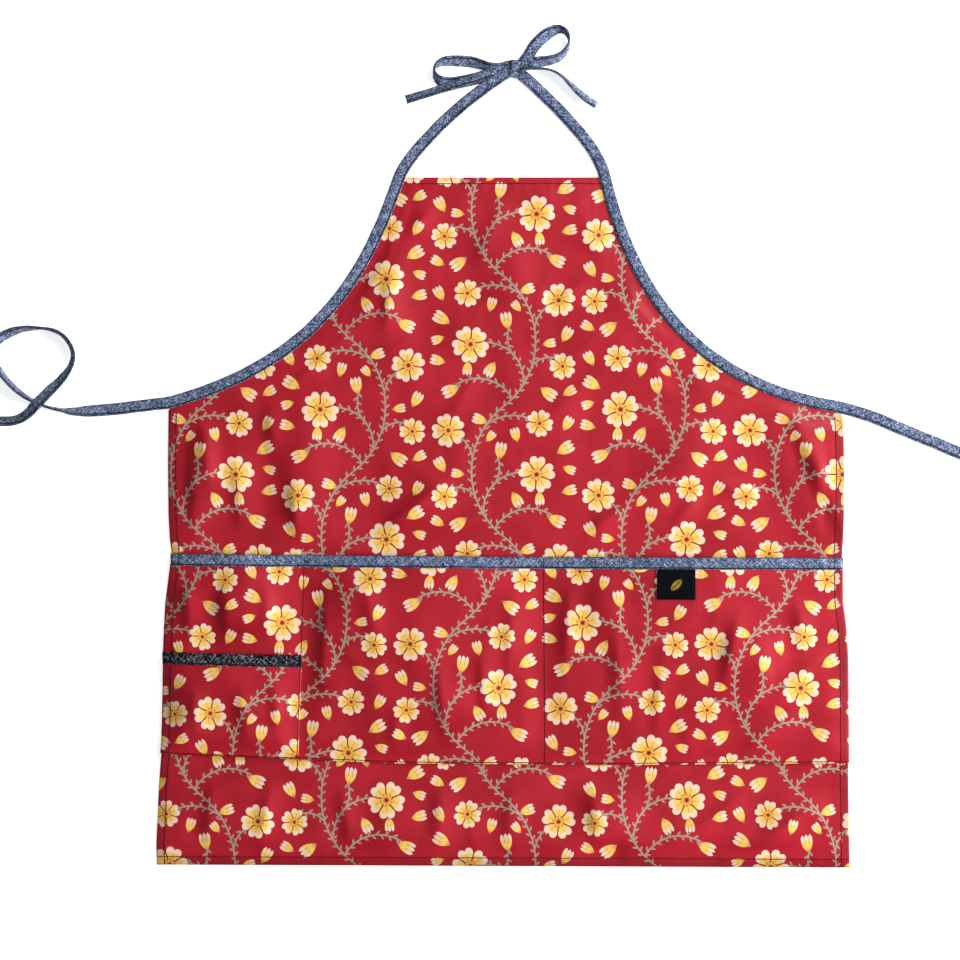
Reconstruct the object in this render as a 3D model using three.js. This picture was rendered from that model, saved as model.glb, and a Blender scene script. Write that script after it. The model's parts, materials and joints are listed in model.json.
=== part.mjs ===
// A bib apron for garden work, laid flat with its front up.
// Units are millimetres. X runs across the apron, Y from the hem to the neck and Z up from the surface
// that it lies on. The origin is on that surface, under the middle of the waist.
import * as THREE from "three";

const { lerp, clamp, smoothstep, degToRad } = THREE.MathUtils;

// Cloth and tape sizes
const CLOTH = 1.0; // one layer of laminated cotton
const LEAF = 0.9; // one leaf of the folded tape
const GAP = 0.3; // clearance between neighbouring pieces
const PINCH = 0.3; // slit between the leaves where the tape holds nothing
const GROOVE = 0.6; // depth of that slit: there the leaves are sewn shut
const TAPE_WIDTH = 12;
const SEAT = LEAF + GAP; // what lies under a cloth edge that sits in a folded tape
const HEM = CLOTH + SEAT; // a turned edge is as thick as cloth and seat together
const CLOTH_SLOT = CLOTH + 2 * GAP; // slit between the leaves where the tape holds a cloth edge
const EDGE_IN_TAPE = 2; // how far a cloth edge stops short of the tape's folded edge

// Outline of the body
const BIB_TOP = 229;
const HEM_LINE = -458;
const SIDE_HEM = 10;
const BOTTOM_HEM = 9;
const TOP_HEM = 7;
const HEM_STEP = 2; // the turned edge thins to one layer over this distance
const HEM_RUNOUT = 6; // and runs out this far short of an armhole tape
const SIDE_SEAM = [
  { y: -458, half: 346 },
  { y: -250, half: 342 },
  { y: -145, half: 335 },
  { y: 12, half: 335 },
];
// Outer edge of the tape round each armhole, from the bib's top corner to the waist
const ARMHOLE = {
  left: new THREE.CubicBezierCurve(
    new THREE.Vector2(-110.5, 229),
    new THREE.Vector2(-143, 135),
    new THREE.Vector2(-190, 49),
    new THREE.Vector2(-335, 10),
  ),
  right: new THREE.CubicBezierCurve(
    new THREE.Vector2(107.5, 229),
    new THREE.Vector2(132, 130),
    new THREE.Vector2(186, 29),
    new THREE.Vector2(337, 5),
  ),
};

// Soft folds that lift the body off the surface: the two ends of each ridge, its half width and its height
const FOLDS = [
  { fromX: -205, fromY: 45, toX: -190, toY: -170, width: 46, height: 4.5 },
  { fromX: -290, fromY: 0, toX: -312, toY: -150, width: 40, height: 3.5 },
  { fromX: -165, fromY: -150, toX: 0, toY: -45, width: 44, height: 3.5 },
  { fromX: 35, fromY: 40, toX: 185, toY: 120, width: 44, height: 3.0 },
  { fromX: 235, fromY: 50, toX: 115, toY: -160, width: 50, height: 4.0 },
  { fromX: 255, fromY: 25, toX: 325, toY: -150, width: 40, height: 4.5 },
  { fromX: -115, fromY: 190, toX: -120, toY: 20, width: 42, height: 3.0 },
  { fromX: -15, fromY: 215, toX: 30, toY: 70, width: 44, height: 2.5 },
  { fromX: 100, fromY: -350, toX: 112, toY: -470, width: 44, height: 3.0 },
  { fromX: 330, fromY: -390, toX: 190, toY: -455, width: 42, height: 3.0 },
  { fromX: -95, fromY: -360, toX: -135, toY: -470, width: 44, height: 2.5 },
  { fromX: -260, fromY: -365, toX: -270, toY: -470, width: 42, height: 2.5 },
];

// Pockets: the wide panel's mouth and bottom seam, and the lines that divide it
const MOUTH = [
  { x: -350, y: -147 },
  { x: 0, y: -150 },
  { x: 350, y: -151.5 },
];
const BOTTOM_SEAM = [
  { x: -350, y: -346 },
  { x: -213, y: -351.5 },
  { x: -103, y: -356 },
  { x: 117, y: -357.5 },
  { x: 350, y: -355.5 },
];
const DIVISIONS = [
  { atSeam: -206, atMouth: -198.5 },
  { atSeam: 41.5, atMouth: 40 },
];
const SIDE_INSET = 1; // the panel stops this far inside the body's side edge
const TURN_UNDER = 9; // depth of the turned edge along a pocket's bottom
// How high each pocket stands at the middle of its mouth, and the share of its depth that lies flat
const POCKETS = [
  { name: "left", vault: 8.5, flatShare: 0.54 },
  { name: "middle", vault: 9, flatShare: 0 },
  { name: "right", vault: 10, flatShare: 0 },
];
const SMALL_POCKET = { mouthLeft: -245, mouthRight: -248.5, vault: 9 };
const LABEL = { left: 153, right: 191, height: 30 };

const MATERIALS = {
  print: new THREE.MeshStandardMaterial({ color: 0xb5303c, roughness: 0.38, metalness: 0 }),
  chambray: new THREE.MeshStandardMaterial({ color: 0x636f88, roughness: 0.9, metalness: 0 }),
  denim: new THREE.MeshStandardMaterial({ color: 0x3b3138, roughness: 0.9, metalness: 0 }),
  label: new THREE.MeshStandardMaterial({ color: 0x10141c, roughness: 0.7, metalness: 0 }),
};

// The value of a column at a place, between the rows of a table
function between(table, across, column, at) {
  const next = clamp(
    table.findIndex((row) => row[across] >= at),
    1,
    table.length - 1,
  );
  const upper = at > table.at(-1)[across] ? table.length - 1 : next;
  const [a, b] = [table[upper - 1], table[upper]];
  return lerp(a[column], b[column], clamp((at - a[across]) / (b[across] - a[across]), 0, 1));
}

const sideHalf = (y) => between(SIDE_SEAM, "y", "half", y);
const mouthY = (x) => between(MOUTH, "x", "y", x);
const seamY = (x) => between(BOTTOM_SEAM, "x", "y", x);

// Points along an armhole, set in from the tape's outer edge
function armholePoint(side, t, inset) {
  const curve = ARMHOLE[side];
  const point = curve.getPoint(t);
  const run = curve.getTangent(t);
  const inward = side === "left" ? 1 : -1;
  return { x: point.x - inward * run.y * inset, y: point.y + inward * run.x * inset };
}

const ARMHOLE_SAMPLES = 80;
const ARMHOLE_OUTER = Object.fromEntries(
  Object.keys(ARMHOLE).map((side) => [side, ARMHOLE[side].getPoints(ARMHOLE_SAMPLES)]),
);

function armholeDistance(x, y) {
  const line = ARMHOLE_OUTER[x < 0 ? "left" : "right"];
  return Math.min(...line.map((point) => Math.hypot(point.x - x, point.y - y)));
}

// How far out the cloth reaches at one height, on one side
function bodyEdge(side, y) {
  const sign = side === "left" ? -1 : 1;
  let [low, high] = [0, 1];
  if (armholePoint(side, high, EDGE_IN_TAPE).y >= y) return sign * sideHalf(y);
  for (let step = 0; step < 40; step += 1) {
    const middle = (low + high) / 2;
    if (armholePoint(side, middle, EDGE_IN_TAPE).y > y) low = middle;
    else high = middle;
  }
  return sign * Math.min(Math.abs(armholePoint(side, low, EDGE_IN_TAPE).x), sideHalf(y));
}

// Heights of the body's cloth
const bell = (t) => (Math.abs(t) < 1 ? Math.cos((Math.PI * t) / 2) ** 2 : 0);

function foldHeight(x, y) {
  return FOLDS.reduce((sum, fold) => {
    const [runX, runY] = [fold.toX - fold.fromX, fold.toY - fold.fromY];
    const length = Math.hypot(runX, runY);
    const along = ((x - fold.fromX) * runX + (y - fold.fromY) * runY) / length;
    const across = ((x - fold.fromX) * runY - (y - fold.fromY) * runX) / length;
    return sum + fold.height * bell((2 * along) / length - 1) * bell(across / fold.width);
  }, 0);
}

function edgeDistance(x, y) {
  return Math.min(sideHalf(y) - Math.abs(x), y - HEM_LINE, BIB_TOP - y, armholeDistance(x, y));
}

const FLAT_EDGE = 16; // the cloth stays level this far in from every edge
const EDGE_FADE = 54; // and comes down to the surface by this far in

// Folds die out at the edges and under the pocket panel, where the layers lie together
function bodyTop(x, y) {
  const edge = edgeDistance(x, y);
  const free = smoothstep(edge, FLAT_EDGE, EDGE_FADE / 2);
  const above = smoothstep(y, mouthY(x) - 8, mouthY(x) + 40);
  const below = 1 - smoothstep(y, seamY(x) - 40, seamY(x) - 8);
  const seat = SEAT * (1 - smoothstep(edge, FLAT_EDGE, EDGE_FADE));
  return CLOTH + seat + foldHeight(x, y) * free * Math.max(above, below);
}

function bodyThickness(x, y) {
  const inTape = armholeDistance(x, y) < TAPE_WIDTH + HEM_RUNOUT;
  const hemmed =
    sideHalf(y) - Math.abs(x) < SIDE_HEM + 0.1 ||
    y - HEM_LINE < BOTTOM_HEM + 0.1 ||
    BIB_TOP - y < TOP_HEM + 0.1;
  return hemmed && !inTape ? HEM : CLOTH;
}

// Heights of the pocket panel: where a place lies in its pocket, and how far the cloth stands off the body
function pocketAt(x, y) {
  const v = clamp((y - seamY(x)) / (mouthY(x) - EDGE_IN_TAPE - seamY(x)), 0, 1);
  const side = sideHalf(y) - SIDE_INSET;
  const lines = [-side, ...DIVISIONS.map((line) => lerp(line.atSeam, line.atMouth, v)), side];
  const k = clamp(lines.findIndex((line) => line > x) - 1, 0, POCKETS.length - 1);
  const index = x >= lines.at(-1) ? POCKETS.length - 1 : k;
  const u = clamp((x - lines[index]) / (lines[index + 1] - lines[index]), 0, 1);
  return { pocket: POCKETS[index], u, v };
}

const swell = (v) => (1 - (1 - v) ** 2.5) * smoothstep(v, 0, 0.3);
const BINDING_FLAT = TAPE_WIDTH + 3; // below its mouth a pocket keeps level this far, inside its binding
const BINDING_FADE = 45;

// Extra height that a pocket's cloth gains near its bottom turn and near its bound mouth
function pocketSeat(fromSeam, fromMouth) {
  const turned = SEAT * (1 - smoothstep(fromSeam, TURN_UNDER + 1, 4 * TURN_UNDER));
  const bound = SEAT * (1 - smoothstep(fromMouth, BINDING_FLAT, BINDING_FADE));
  return Math.max(turned, bound);
}

function panelTop(x, y) {
  const { pocket, u, v } = pocketAt(x, y);
  const open = swell(clamp((v - pocket.flatShare) / (1 - pocket.flatShare), 0, 1));
  const vault = pocket.vault * Math.sin(Math.PI * u) * open;
  return bodyTop(x, y) + GAP + CLOTH + pocketSeat(y - seamY(x), mouthY(x) - y) + vault;
}

const panelThickness = (x, y) => (y - seamY(x) < TURN_UNDER + 0.1 ? HEM : CLOTH);

// The small pocket lies on the left end of the panel, from the side edge to the first division
const smallRight = (v) => lerp(DIVISIONS[0].atSeam, DIVISIONS[0].atMouth, v);

function smallMouthY(x) {
  const t = (x + sideHalf(SMALL_POCKET.mouthLeft)) / (sideHalf(SMALL_POCKET.mouthLeft) + smallRight(0.5));
  return lerp(SMALL_POCKET.mouthLeft, SMALL_POCKET.mouthRight, clamp(t, 0, 1));
}

function smallTop(x, y) {
  const v = clamp((y - seamY(x)) / (smallMouthY(x) - EDGE_IN_TAPE - seamY(x)), 0, 1);
  const left = SIDE_INSET - sideHalf(y);
  const u = clamp((x - left) / (smallRight(0.3) - left), 0, 1);
  const vault = SMALL_POCKET.vault * Math.sin(Math.PI * u) * swell(v);
  return panelTop(x, y) + GAP + CLOTH + pocketSeat(y - seamY(x), smallMouthY(x) - y) + vault;
}

// A closed mesh from points and triangles, turned so that its faces point out
function solid(name, material, points, triangles) {
  const volume = triangles.reduce((sum, [a, b, c]) => {
    return sum + points[a].dot(points[b].clone().cross(points[c]));
  }, 0);
  const faces = volume < 0 ? triangles.map(([a, b, c]) => [a, c, b]) : triangles;
  const geometry = new THREE.BufferGeometry().setFromPoints(points);
  geometry.setIndex(faces.flat());
  geometry.computeVertexNormals();
  const mesh = new THREE.Mesh(geometry, material);
  mesh.name = name;
  return mesh;
}

// A wall of cloth over a grid of places, with its top and thickness given at each place
function sheet(name, material, grid, top, thickness) {
  const [rows, columns] = [grid.length, grid[0].length];
  const places = grid.flat();
  const upper = places.map(({ x, y }) => new THREE.Vector3(x, y, top(x, y)));
  const lower = places.map(({ x, y }) => new THREE.Vector3(x, y, top(x, y) - thickness(x, y)));
  const count = places.length;
  const triangles = [];
  const quad = (a, b, c, d) => triangles.push([a, b, c], [a, c, d]);
  for (let r = 0; r + 1 < rows; r += 1) {
    for (let c = 0; c + 1 < columns; c += 1) {
      const [a, b] = [r * columns + c, r * columns + c + 1];
      const [d, e] = [a + columns, b + columns];
      quad(a, b, e, d);
      quad(count + a, count + d, count + e, count + b);
    }
  }
  const rim = [
    ...Array.from({ length: columns }, (_, c) => c),
    ...Array.from({ length: rows - 1 }, (_, r) => (r + 2) * columns - 1),
    ...Array.from({ length: columns - 1 }, (_, c) => rows * columns - 2 - c),
    ...Array.from({ length: rows - 2 }, (_, r) => (rows - 2 - r) * columns),
  ];
  rim.forEach((a, i) => {
    const b = rim[(i + 1) % rim.length];
    quad(a, count + a, count + b, b);
  });
  return solid(name, material, [...upper, ...lower], triangles);
}

// A closed solid through sections that all have the same flat outline of points
function loft(name, material, sections, outline) {
  const sides = outline.length;
  const points = sections.flat();
  const triangles = [];
  for (let k = 0; k + 1 < sections.length; k += 1) {
    for (let i = 0; i < sides; i += 1) {
      const [a, b] = [k * sides + i, k * sides + ((i + 1) % sides)];
      triangles.push([a, b, b + sides], [a, b + sides, a + sides]);
    }
  }
  const last = points.length - sides;
  THREE.ShapeUtils.triangulateShape(outline, []).forEach(([a, b, c]) => {
    triangles.push([a, c, b], [last + a, last + b, last + c]);
  });
  return solid(name, material, points, triangles);
}

// Folded tape: two leaves joined along one edge, drawn as width and depth round the tape's middle.
// grip is 1 where the leaves hold cloth between them and 0 where they are sewn shut.
function tapeOutline(grip) {
  const slot = lerp(PINCH, CLOTH_SLOT, grip);
  const [fold, open, half] = [-TAPE_WIDTH / 2, TAPE_WIDTH / 2, LEAF + slot / 2];
  const root = lerp(open - GROOVE, fold + LEAF, grip);
  const pairs = [
    [fold, -half],
    [open, -half],
    [open, -slot / 2],
    [root, -slot / 2],
    [root, slot / 2],
    [open, slot / 2],
    [open, half],
    [fold, half],
  ];
  return pairs.map(([w, n]) => new THREE.Vector2(w, n));
}

// Tape along a route of places. roll stands it on its edge, lift raises it off the surface, and grip opens
// its slit for the body's cloth. openSide is 1 if its open edge is on the right of the route.
function tape(name, material, route, openSide, step) {
  const line = new THREE.CatmullRomCurve3(
    route.map(({ x, y }) => new THREE.Vector3(x, y, 0)),
    false,
    "centripetal",
  );
  const spans = route.length - 1;
  const sections = [];
  const addSection = (span, share) => {
    const [a, b] = [route[span], route[Math.min(span + 1, spans)]];
    const [roll, lift, grip] = ["roll", "lift", "grip"].map((key) => {
      return lerp(a[key] ?? 0, b[key] ?? 0, smoothstep(share, 0, 1));
    });
    const t = (span + share) / spans;
    const place = line.getPoint(t);
    const run = line.getTangent(t);
    const half = LEAF + lerp(PINCH, CLOTH_SLOT, grip) / 2;
    const [sin, cos] = [Math.sin(degToRad(roll)), Math.cos(degToRad(roll))];
    const across = new THREE.Vector3(openSide * run.y, -openSide * run.x, 0).normalize();
    const up = new THREE.Vector3(0, 0, 1);
    const wide = across.clone().multiplyScalar(cos).addScaledVector(up, sin);
    const deep = up.clone().multiplyScalar(cos).addScaledVector(across, -sin);
    place.z = lift + (Math.abs(sin) * TAPE_WIDTH) / 2 + Math.abs(cos) * half;
    const corners = tapeOutline(grip).map((corner) => {
      return place.clone().addScaledVector(wide, corner.x).addScaledVector(deep, corner.y);
    });
    sections.push(corners);
  };
  for (let span = 0; span < spans; span += 1) {
    const length = Math.hypot(route[span + 1].x - route[span].x, route[span + 1].y - route[span].y);
    const pieces = Math.max(1, Math.round(length / step));
    for (let piece = 0; piece < pieces; piece += 1) addSection(span, piece / pieces);
  }
  addSection(spans, 0);
  return loft(name, material, sections, tapeOutline(0));
}

// Tape folded over a pocket's mouth, from one end of the mouth to the other
function mouthBinding(name, material, places, clothTop) {
  const outline = tapeOutline(1);
  const sections = places.map(({ x, y }) => {
    const middle = clothTop(x, y - TAPE_WIDTH / 2) - CLOTH / 2;
    return outline.map((corner) => {
      return new THREE.Vector3(x, y - TAPE_WIDTH / 2 - corner.x, middle + corner.y);
    });
  });
  return loft(name, material, sections, outline);
}

// Routes of the two long tapes. Each runs from the free end of a waist tie to the bow.
const WAIST_TIE_LEFT = [
  { x: -521, y: -15.5, roll: 30, lift: 0 },
  { x: -503, y: -15, roll: 38, lift: 0 },
  { x: -488, y: -14, roll: 38, lift: 2 },
  { x: -475, y: -8.5, roll: 32, lift: 9 },
  { x: -464.5, y: 2, roll: 22, lift: 13.5 },
  { x: -453, y: 14, roll: 25, lift: 10 },
  { x: -441, y: 27, roll: 42, lift: 3 },
  { x: -432, y: 40.5, roll: 58, lift: 0 },
  { x: -430, y: 53, roll: 66, lift: 0 },
  { x: -435, y: 65, roll: 70, lift: 0 },
  { x: -445, y: 74, roll: 76, lift: 0 },
  { x: -461, y: 78, roll: 86, lift: 0 },
  { x: -478, y: 77.5, roll: 70, lift: 0 },
  { x: -492, y: 73.5, roll: 52, lift: 0 },
  { x: -504, y: 67, roll: 48, lift: 0 },
  { x: -510.5, y: 57, roll: 58, lift: 0 },
  { x: -508.5, y: 45, roll: 66, lift: 0 },
  { x: -500, y: 32, roll: 70, lift: 0 },
  { x: -489, y: 19.5, roll: 72, lift: 0 },
  { x: -478, y: 10.5, roll: 74, lift: 0 },
  { x: -466, y: 4, roll: 80, lift: 0 },
  { x: -455, y: -0.5, roll: 84, lift: 0 },
  { x: -442, y: -3.5, roll: 78, lift: 0 },
  { x: -428, y: -5, roll: 50, lift: 0 },
  { x: -412, y: -4.5, roll: 18, lift: 0 },
  { x: -394, y: -3, roll: 4, lift: 0 },
  { x: -370, y: -0.5, roll: 0, lift: 0 },
  { x: -350, y: 2, roll: 0, lift: 0, grip: 0.4 },
];
const WAIST_TIE_RIGHT = [
  { x: 477, y: -55, roll: 0, lift: 0 },
  { x: 457, y: -47, roll: 0, lift: 0 },
  { x: 427, y: -34.5, roll: 0, lift: 0 },
  { x: 397, y: -22, roll: 0, lift: 0 },
  { x: 370, y: -11, roll: 0, lift: 0 },
  { x: 352, y: -5, roll: 0, lift: 0, grip: 0.4 },
];
const NECK_LEFT = [
  { x: -98.5, y: 240, roll: 0, lift: 0, grip: 0.4 },
  { x: -87, y: 255.5, roll: 0, lift: 0 },
  { x: -72, y: 272, roll: 0, lift: 0 },
  { x: -55.5, y: 288.5, roll: 0, lift: 1.5 },
  { x: -37, y: 304, roll: 0, lift: 5.5 },
  { x: -19, y: 317.5, roll: 0, lift: 7.8 },
  { x: -5, y: 327.5, roll: 0, lift: 7.6 },
  { x: 2.6, y: 332.4, roll: 0, lift: 7.6 },
];
const NECK_RIGHT = [
  { x: 98.5, y: 239, roll: 0, lift: 0, grip: 0.4 },
  { x: 90, y: 255, roll: 0, lift: 0 },
  { x: 78, y: 271.5, roll: 0, lift: 0 },
  { x: 64, y: 287.5, roll: 0, lift: 0 },
  { x: 49, y: 303, roll: 0, lift: 0 },
  { x: 34, y: 317.5, roll: 0, lift: 0 },
  { x: 22.4, y: 328, roll: 0, lift: 0 },
];
const ARMHOLE_STEPS = 18;

function armholeRoute(side) {
  return Array.from({ length: ARMHOLE_STEPS + 1 }, (_, i) => {
    return { ...armholePoint(side, 1 - i / ARMHOLE_STEPS, TAPE_WIDTH / 2), roll: 0, lift: 0, grip: 1 };
  });
}

// The bow: two loops and two tails that lie round the knot
const KNOT = { x: 12.5, y: 336.5, width: 12, length: 18, height: 10 };
const BOW = [
  {
    name: "bow_loop_left",
    openSide: 1,
    route: [
      { x: 4.6, y: 337.5, roll: 0, lift: 0 },
      { x: -8, y: 339.5, roll: 0, lift: 0 },
      { x: -22, y: 342.5, roll: 16, lift: 0 },
      { x: -38, y: 345, roll: 30, lift: 0 },
      { x: -53, y: 345.5, roll: 40, lift: 0 },
      { x: -63, y: 344, roll: 62, lift: 0 },
      { x: -69, y: 339, roll: 84, lift: 0 },
      { x: -69.6, y: 332.5, roll: 96, lift: 0 },
      { x: -65, y: 327.5, roll: 125, lift: 0 },
      { x: -57, y: 325.2, roll: 158, lift: 0 },
      { x: -44, y: 326, roll: 176, lift: 0 },
      { x: -29, y: 329, roll: 180, lift: 1.5 },
      { x: -14, y: 333, roll: 180, lift: 2.5 },
      { x: 4.6, y: 337, roll: 180, lift: 2.5 },
    ],
  },
  {
    name: "bow_tail_left",
    openSide: -1,
    route: [
      { x: 3.4, y: 338, roll: 0, lift: 5 },
      { x: -6, y: 334, roll: 0, lift: 5 },
      { x: -20, y: 329, roll: 0, lift: 5 },
      { x: -36, y: 324.5, roll: 0, lift: 5 },
      { x: -52, y: 320, roll: 0, lift: 5.4 },
      { x: -68, y: 315.3, roll: 0, lift: 4.4 },
      { x: -84, y: 310.5, roll: 6, lift: 1.4 },
      { x: -98, y: 306.2, roll: 8, lift: 0 },
    ],
  },
  {
    name: "bow_loop_right",
    openSide: -1,
    route: [
      { x: 21.2, y: 345, roll: 0, lift: 7.5 },
      { x: 27.5, y: 353.5, roll: 0, lift: 8.5 },
      { x: 35, y: 363.5, roll: 8, lift: 8 },
      { x: 45, y: 371.5, roll: 22, lift: 5.5 },
      { x: 54.5, y: 375.5, roll: 44, lift: 3 },
      { x: 62, y: 373, roll: 72, lift: 1.5 },
      { x: 65.2, y: 365.5, roll: 92, lift: 0.5 },
      { x: 63.5, y: 357.5, roll: 118, lift: 0 },
      { x: 56.5, y: 350.5, roll: 142, lift: 0.5 },
      { x: 46, y: 346.3, roll: 152, lift: 2 },
      { x: 33, y: 345.3, roll: 166, lift: 4 },
      { x: 19.4, y: 345, roll: 180, lift: 5 },
    ],
  },
  {
    name: "bow_tail_right",
    openSide: 1,
    route: [
      { x: 19, y: 334.8, roll: 90, lift: 0 },
      { x: 31, y: 336.2, roll: 86, lift: 0 },
      { x: 41, y: 336.4, roll: 84, lift: 0 },
      { x: 49.5, y: 335, roll: 80, lift: 0 },
      { x: 58, y: 330, roll: 72, lift: 0 },
      { x: 65.5, y: 323.3, roll: 60, lift: 0 },
      { x: 73, y: 316, roll: 50, lift: 0 },
      { x: 82, y: 308.5, roll: 42, lift: 0 },
      { x: 92.5, y: 301, roll: 38, lift: 0 },
    ],
  },
];

// The knot is a rounded wrap, pulled in a little at its two faces
function knot() {
  const sides = 14;
  const outline = Array.from({ length: sides }, (_, i) => {
    const angle = (2 * Math.PI * i) / sides;
    const [c, s] = [Math.cos(angle), Math.sin(angle)];
    const soften = (value) => Math.sign(value) * Math.sqrt(Math.abs(value));
    return new THREE.Vector2((soften(c) * KNOT.length) / 2, (soften(s) * KNOT.height) / 2);
  });
  const profile = [
    { share: -0.5, scale: 0.9 },
    { share: -0.28, scale: 1 },
    { share: 0, scale: 0.94 },
    { share: 0.28, scale: 1 },
    { share: 0.5, scale: 0.9 },
  ];
  const sections = profile.map(({ share, scale }) => {
    return outline.map((point) => {
      const z = KNOT.height / 2 + point.y * scale;
      return new THREE.Vector3(KNOT.x + share * KNOT.width, KNOT.y + point.x * scale, z);
    });
  });
  return loft("bow_knot", MATERIALS.chambray, sections, outline);
}

const spread = (count, from, to) => {
  return Array.from({ length: count + 1 }, (_, i) => lerp(from, to, i / count));
};

// Grid of the body: rows from hem to bib, columns from edge to edge with a line at each side hem
function bodyGrid() {
  const cornerRows = [3, 8, 12, 17, 23, 30, 38, 47, 58, 70];
  const rows = [
    HEM_LINE,
    HEM_LINE + BOTTOM_HEM,
    HEM_LINE + BOTTOM_HEM + HEM_STEP,
    ...spread(18, HEM_LINE + 26, -16),
    -9,
    -3,
    ...cornerRows,
    ...spread(8, 84, BIB_TOP - 24),
    BIB_TOP - TOP_HEM - HEM_STEP,
    BIB_TOP - TOP_HEM,
    BIB_TOP,
  ];
  const innerColumns = 24;
  return rows.map((y) => {
    const [left, right] = [bodyEdge("left", y), bodyEdge("right", y)];
    const hem = SIDE_HEM + HEM_STEP;
    const columns = [
      left,
      left + SIDE_HEM,
      ...spread(innerColumns, left + hem, right - hem),
      right - SIDE_HEM,
      right,
    ];
    return columns.map((x) => ({ x, y }));
  });
}

// Grid of the pocket panel: columns bunch at the seams, rows at the bottom turn and under the binding
function panelGrid() {
  const cells = [8, 12, 14];
  const depth = BOTTOM_SEAM.at(-1).y - MOUTH.at(-1).y;
  const turn = TURN_UNDER / -depth;
  const step = HEM_STEP / -depth;
  const rows = [0, turn, turn + step, ...spread(5, turn + 0.06, 0.8), 0.86, 0.925, 1];
  return rows.map((v) => {
    const near = lerp(-352, -152, v);
    const side = sideHalf(near) - SIDE_INSET;
    const lines = [-side, ...DIVISIONS.map((line) => lerp(line.atSeam, line.atMouth, v)), side];
    const columns = cells.flatMap((count, k) => spread(count, lines[k], lines[k + 1]).slice(k ? 1 : 0));
    return columns.map((x) => ({ x, y: lerp(seamY(x), mouthY(x) - EDGE_IN_TAPE, v) }));
  });
}

function smallPocketGrid() {
  const rows = [0, 0.095, 0.115, ...spread(3, 0.2, 0.7), 0.86, 1];
  return rows.map((v) => {
    const side = sideHalf(lerp(-346, -247, v)) - SIDE_INSET;
    const right = smallRight(0.52 * v);
    return spread(8, -side, right).map((x) => {
      return { x, y: lerp(seamY(x) + SIDE_INSET, smallMouthY(x) - EDGE_IN_TAPE, v) };
    });
  });
}

function labelGrid() {
  const top = mouthY(LABEL.left) - TAPE_WIDTH - GAP;
  return spread(3, top - LABEL.height, top).map((y) => {
    return spread(4, LABEL.left, LABEL.right).map((x) => ({ x, y }));
  });
}

function body() {
  return sheet("body", MATERIALS.print, bodyGrid(), bodyTop, bodyThickness);
}

function pockets() {
  const panel = panelGrid();
  const small = smallPocketGrid();
  const labelTop = (x, y) => panelTop(x, y) + GAP + LEAF;
  const atMouth = (row, rule) => row.map(({ x }) => ({ x, y: rule(x) }));
  const { print, chambray, denim, label } = MATERIALS;
  return [
    sheet("pocket_panel", print, panel, panelTop, panelThickness),
    mouthBinding("pocket_binding", chambray, atMouth(panel.at(-1), mouthY), panelTop),
    sheet("small_pocket", print, small, smallTop, panelThickness),
    mouthBinding("small_pocket_binding", denim, atMouth(small.at(-1), smallMouthY), smallTop),
    sheet("label", label, labelGrid(), labelTop, () => LEAF),
  ];
}

function tapes() {
  const left = [...WAIST_TIE_LEFT, ...armholeRoute("left"), ...NECK_LEFT];
  const right = [...WAIST_TIE_RIGHT, ...armholeRoute("right"), ...NECK_RIGHT];
  const step = 11;
  const bowStep = 6;
  return [
    tape("tape_left", MATERIALS.chambray, left, 1, step),
    tape("tape_right", MATERIALS.chambray, right, -1, step),
    ...BOW.map((part) => tape(part.name, MATERIALS.chambray, part.route, part.openSide, bowStep)),
    knot(),
  ];
}

const apron = new THREE.Group();
apron.add(body(), ...pockets(), ...tapes());

export default apron;
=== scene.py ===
# %% [markdown]
# # A bib apron for garden work, laid flat
#
# The apron lies on its back on a pale floor and is seen from straight above. It is a thing of few parts:
# one large printed sheet, two pockets, and a folded blue tape that binds the armholes and runs on as neck
# straps and waist ties. What makes it look real is the small stuff: turned hems, soft folds under a glossy
# print, the diagonal weave of the tape, and rows of stitches that hold it all together.
#
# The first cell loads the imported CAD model. Every piece below is made in that model's frame, in place.

# %% Load the frame
import itertools
import json
import math
import random

import bmesh
import bpy
from mathutils import Matrix, Vector, geometry, kdtree, noise

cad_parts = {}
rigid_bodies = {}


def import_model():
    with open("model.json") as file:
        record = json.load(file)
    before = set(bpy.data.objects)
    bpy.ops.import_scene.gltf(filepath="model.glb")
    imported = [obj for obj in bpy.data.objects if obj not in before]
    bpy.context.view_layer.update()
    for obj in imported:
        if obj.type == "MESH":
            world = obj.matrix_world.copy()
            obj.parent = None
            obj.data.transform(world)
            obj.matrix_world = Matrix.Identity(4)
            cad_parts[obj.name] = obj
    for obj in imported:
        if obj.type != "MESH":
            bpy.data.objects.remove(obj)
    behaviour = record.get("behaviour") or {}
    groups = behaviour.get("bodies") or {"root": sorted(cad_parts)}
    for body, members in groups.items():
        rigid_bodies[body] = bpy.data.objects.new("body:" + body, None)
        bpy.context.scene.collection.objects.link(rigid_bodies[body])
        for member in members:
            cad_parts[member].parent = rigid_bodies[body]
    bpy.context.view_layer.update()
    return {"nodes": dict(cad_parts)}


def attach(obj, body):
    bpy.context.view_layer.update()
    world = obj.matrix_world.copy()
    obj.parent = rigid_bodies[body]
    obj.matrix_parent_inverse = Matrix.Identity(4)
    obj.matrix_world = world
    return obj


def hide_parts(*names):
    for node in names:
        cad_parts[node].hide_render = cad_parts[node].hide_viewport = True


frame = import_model()
MM = 0.001  # the sizes below are in millimetres, and Blender's are in metres
print("CAD nodes:", ", ".join(sorted(frame["nodes"])))

# %% [markdown]
# ## Camera, light and floor
#
# The view is straight down, with a long lens so that the apron keeps its true outline. One image pixel is
# one millimetre on the floor. Glossy cloth shows its folds only where something bright is mirrored in
# them, so a soft box hangs near the camera as well as the usual key light from the side.

# %% Camera
FRAME_WIDTH = 0.96
CAMERA_HEIGHT = 2.6
VIEW_CENTRE = (-0.0235, -0.0735)
SENSOR = 36.0

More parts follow.
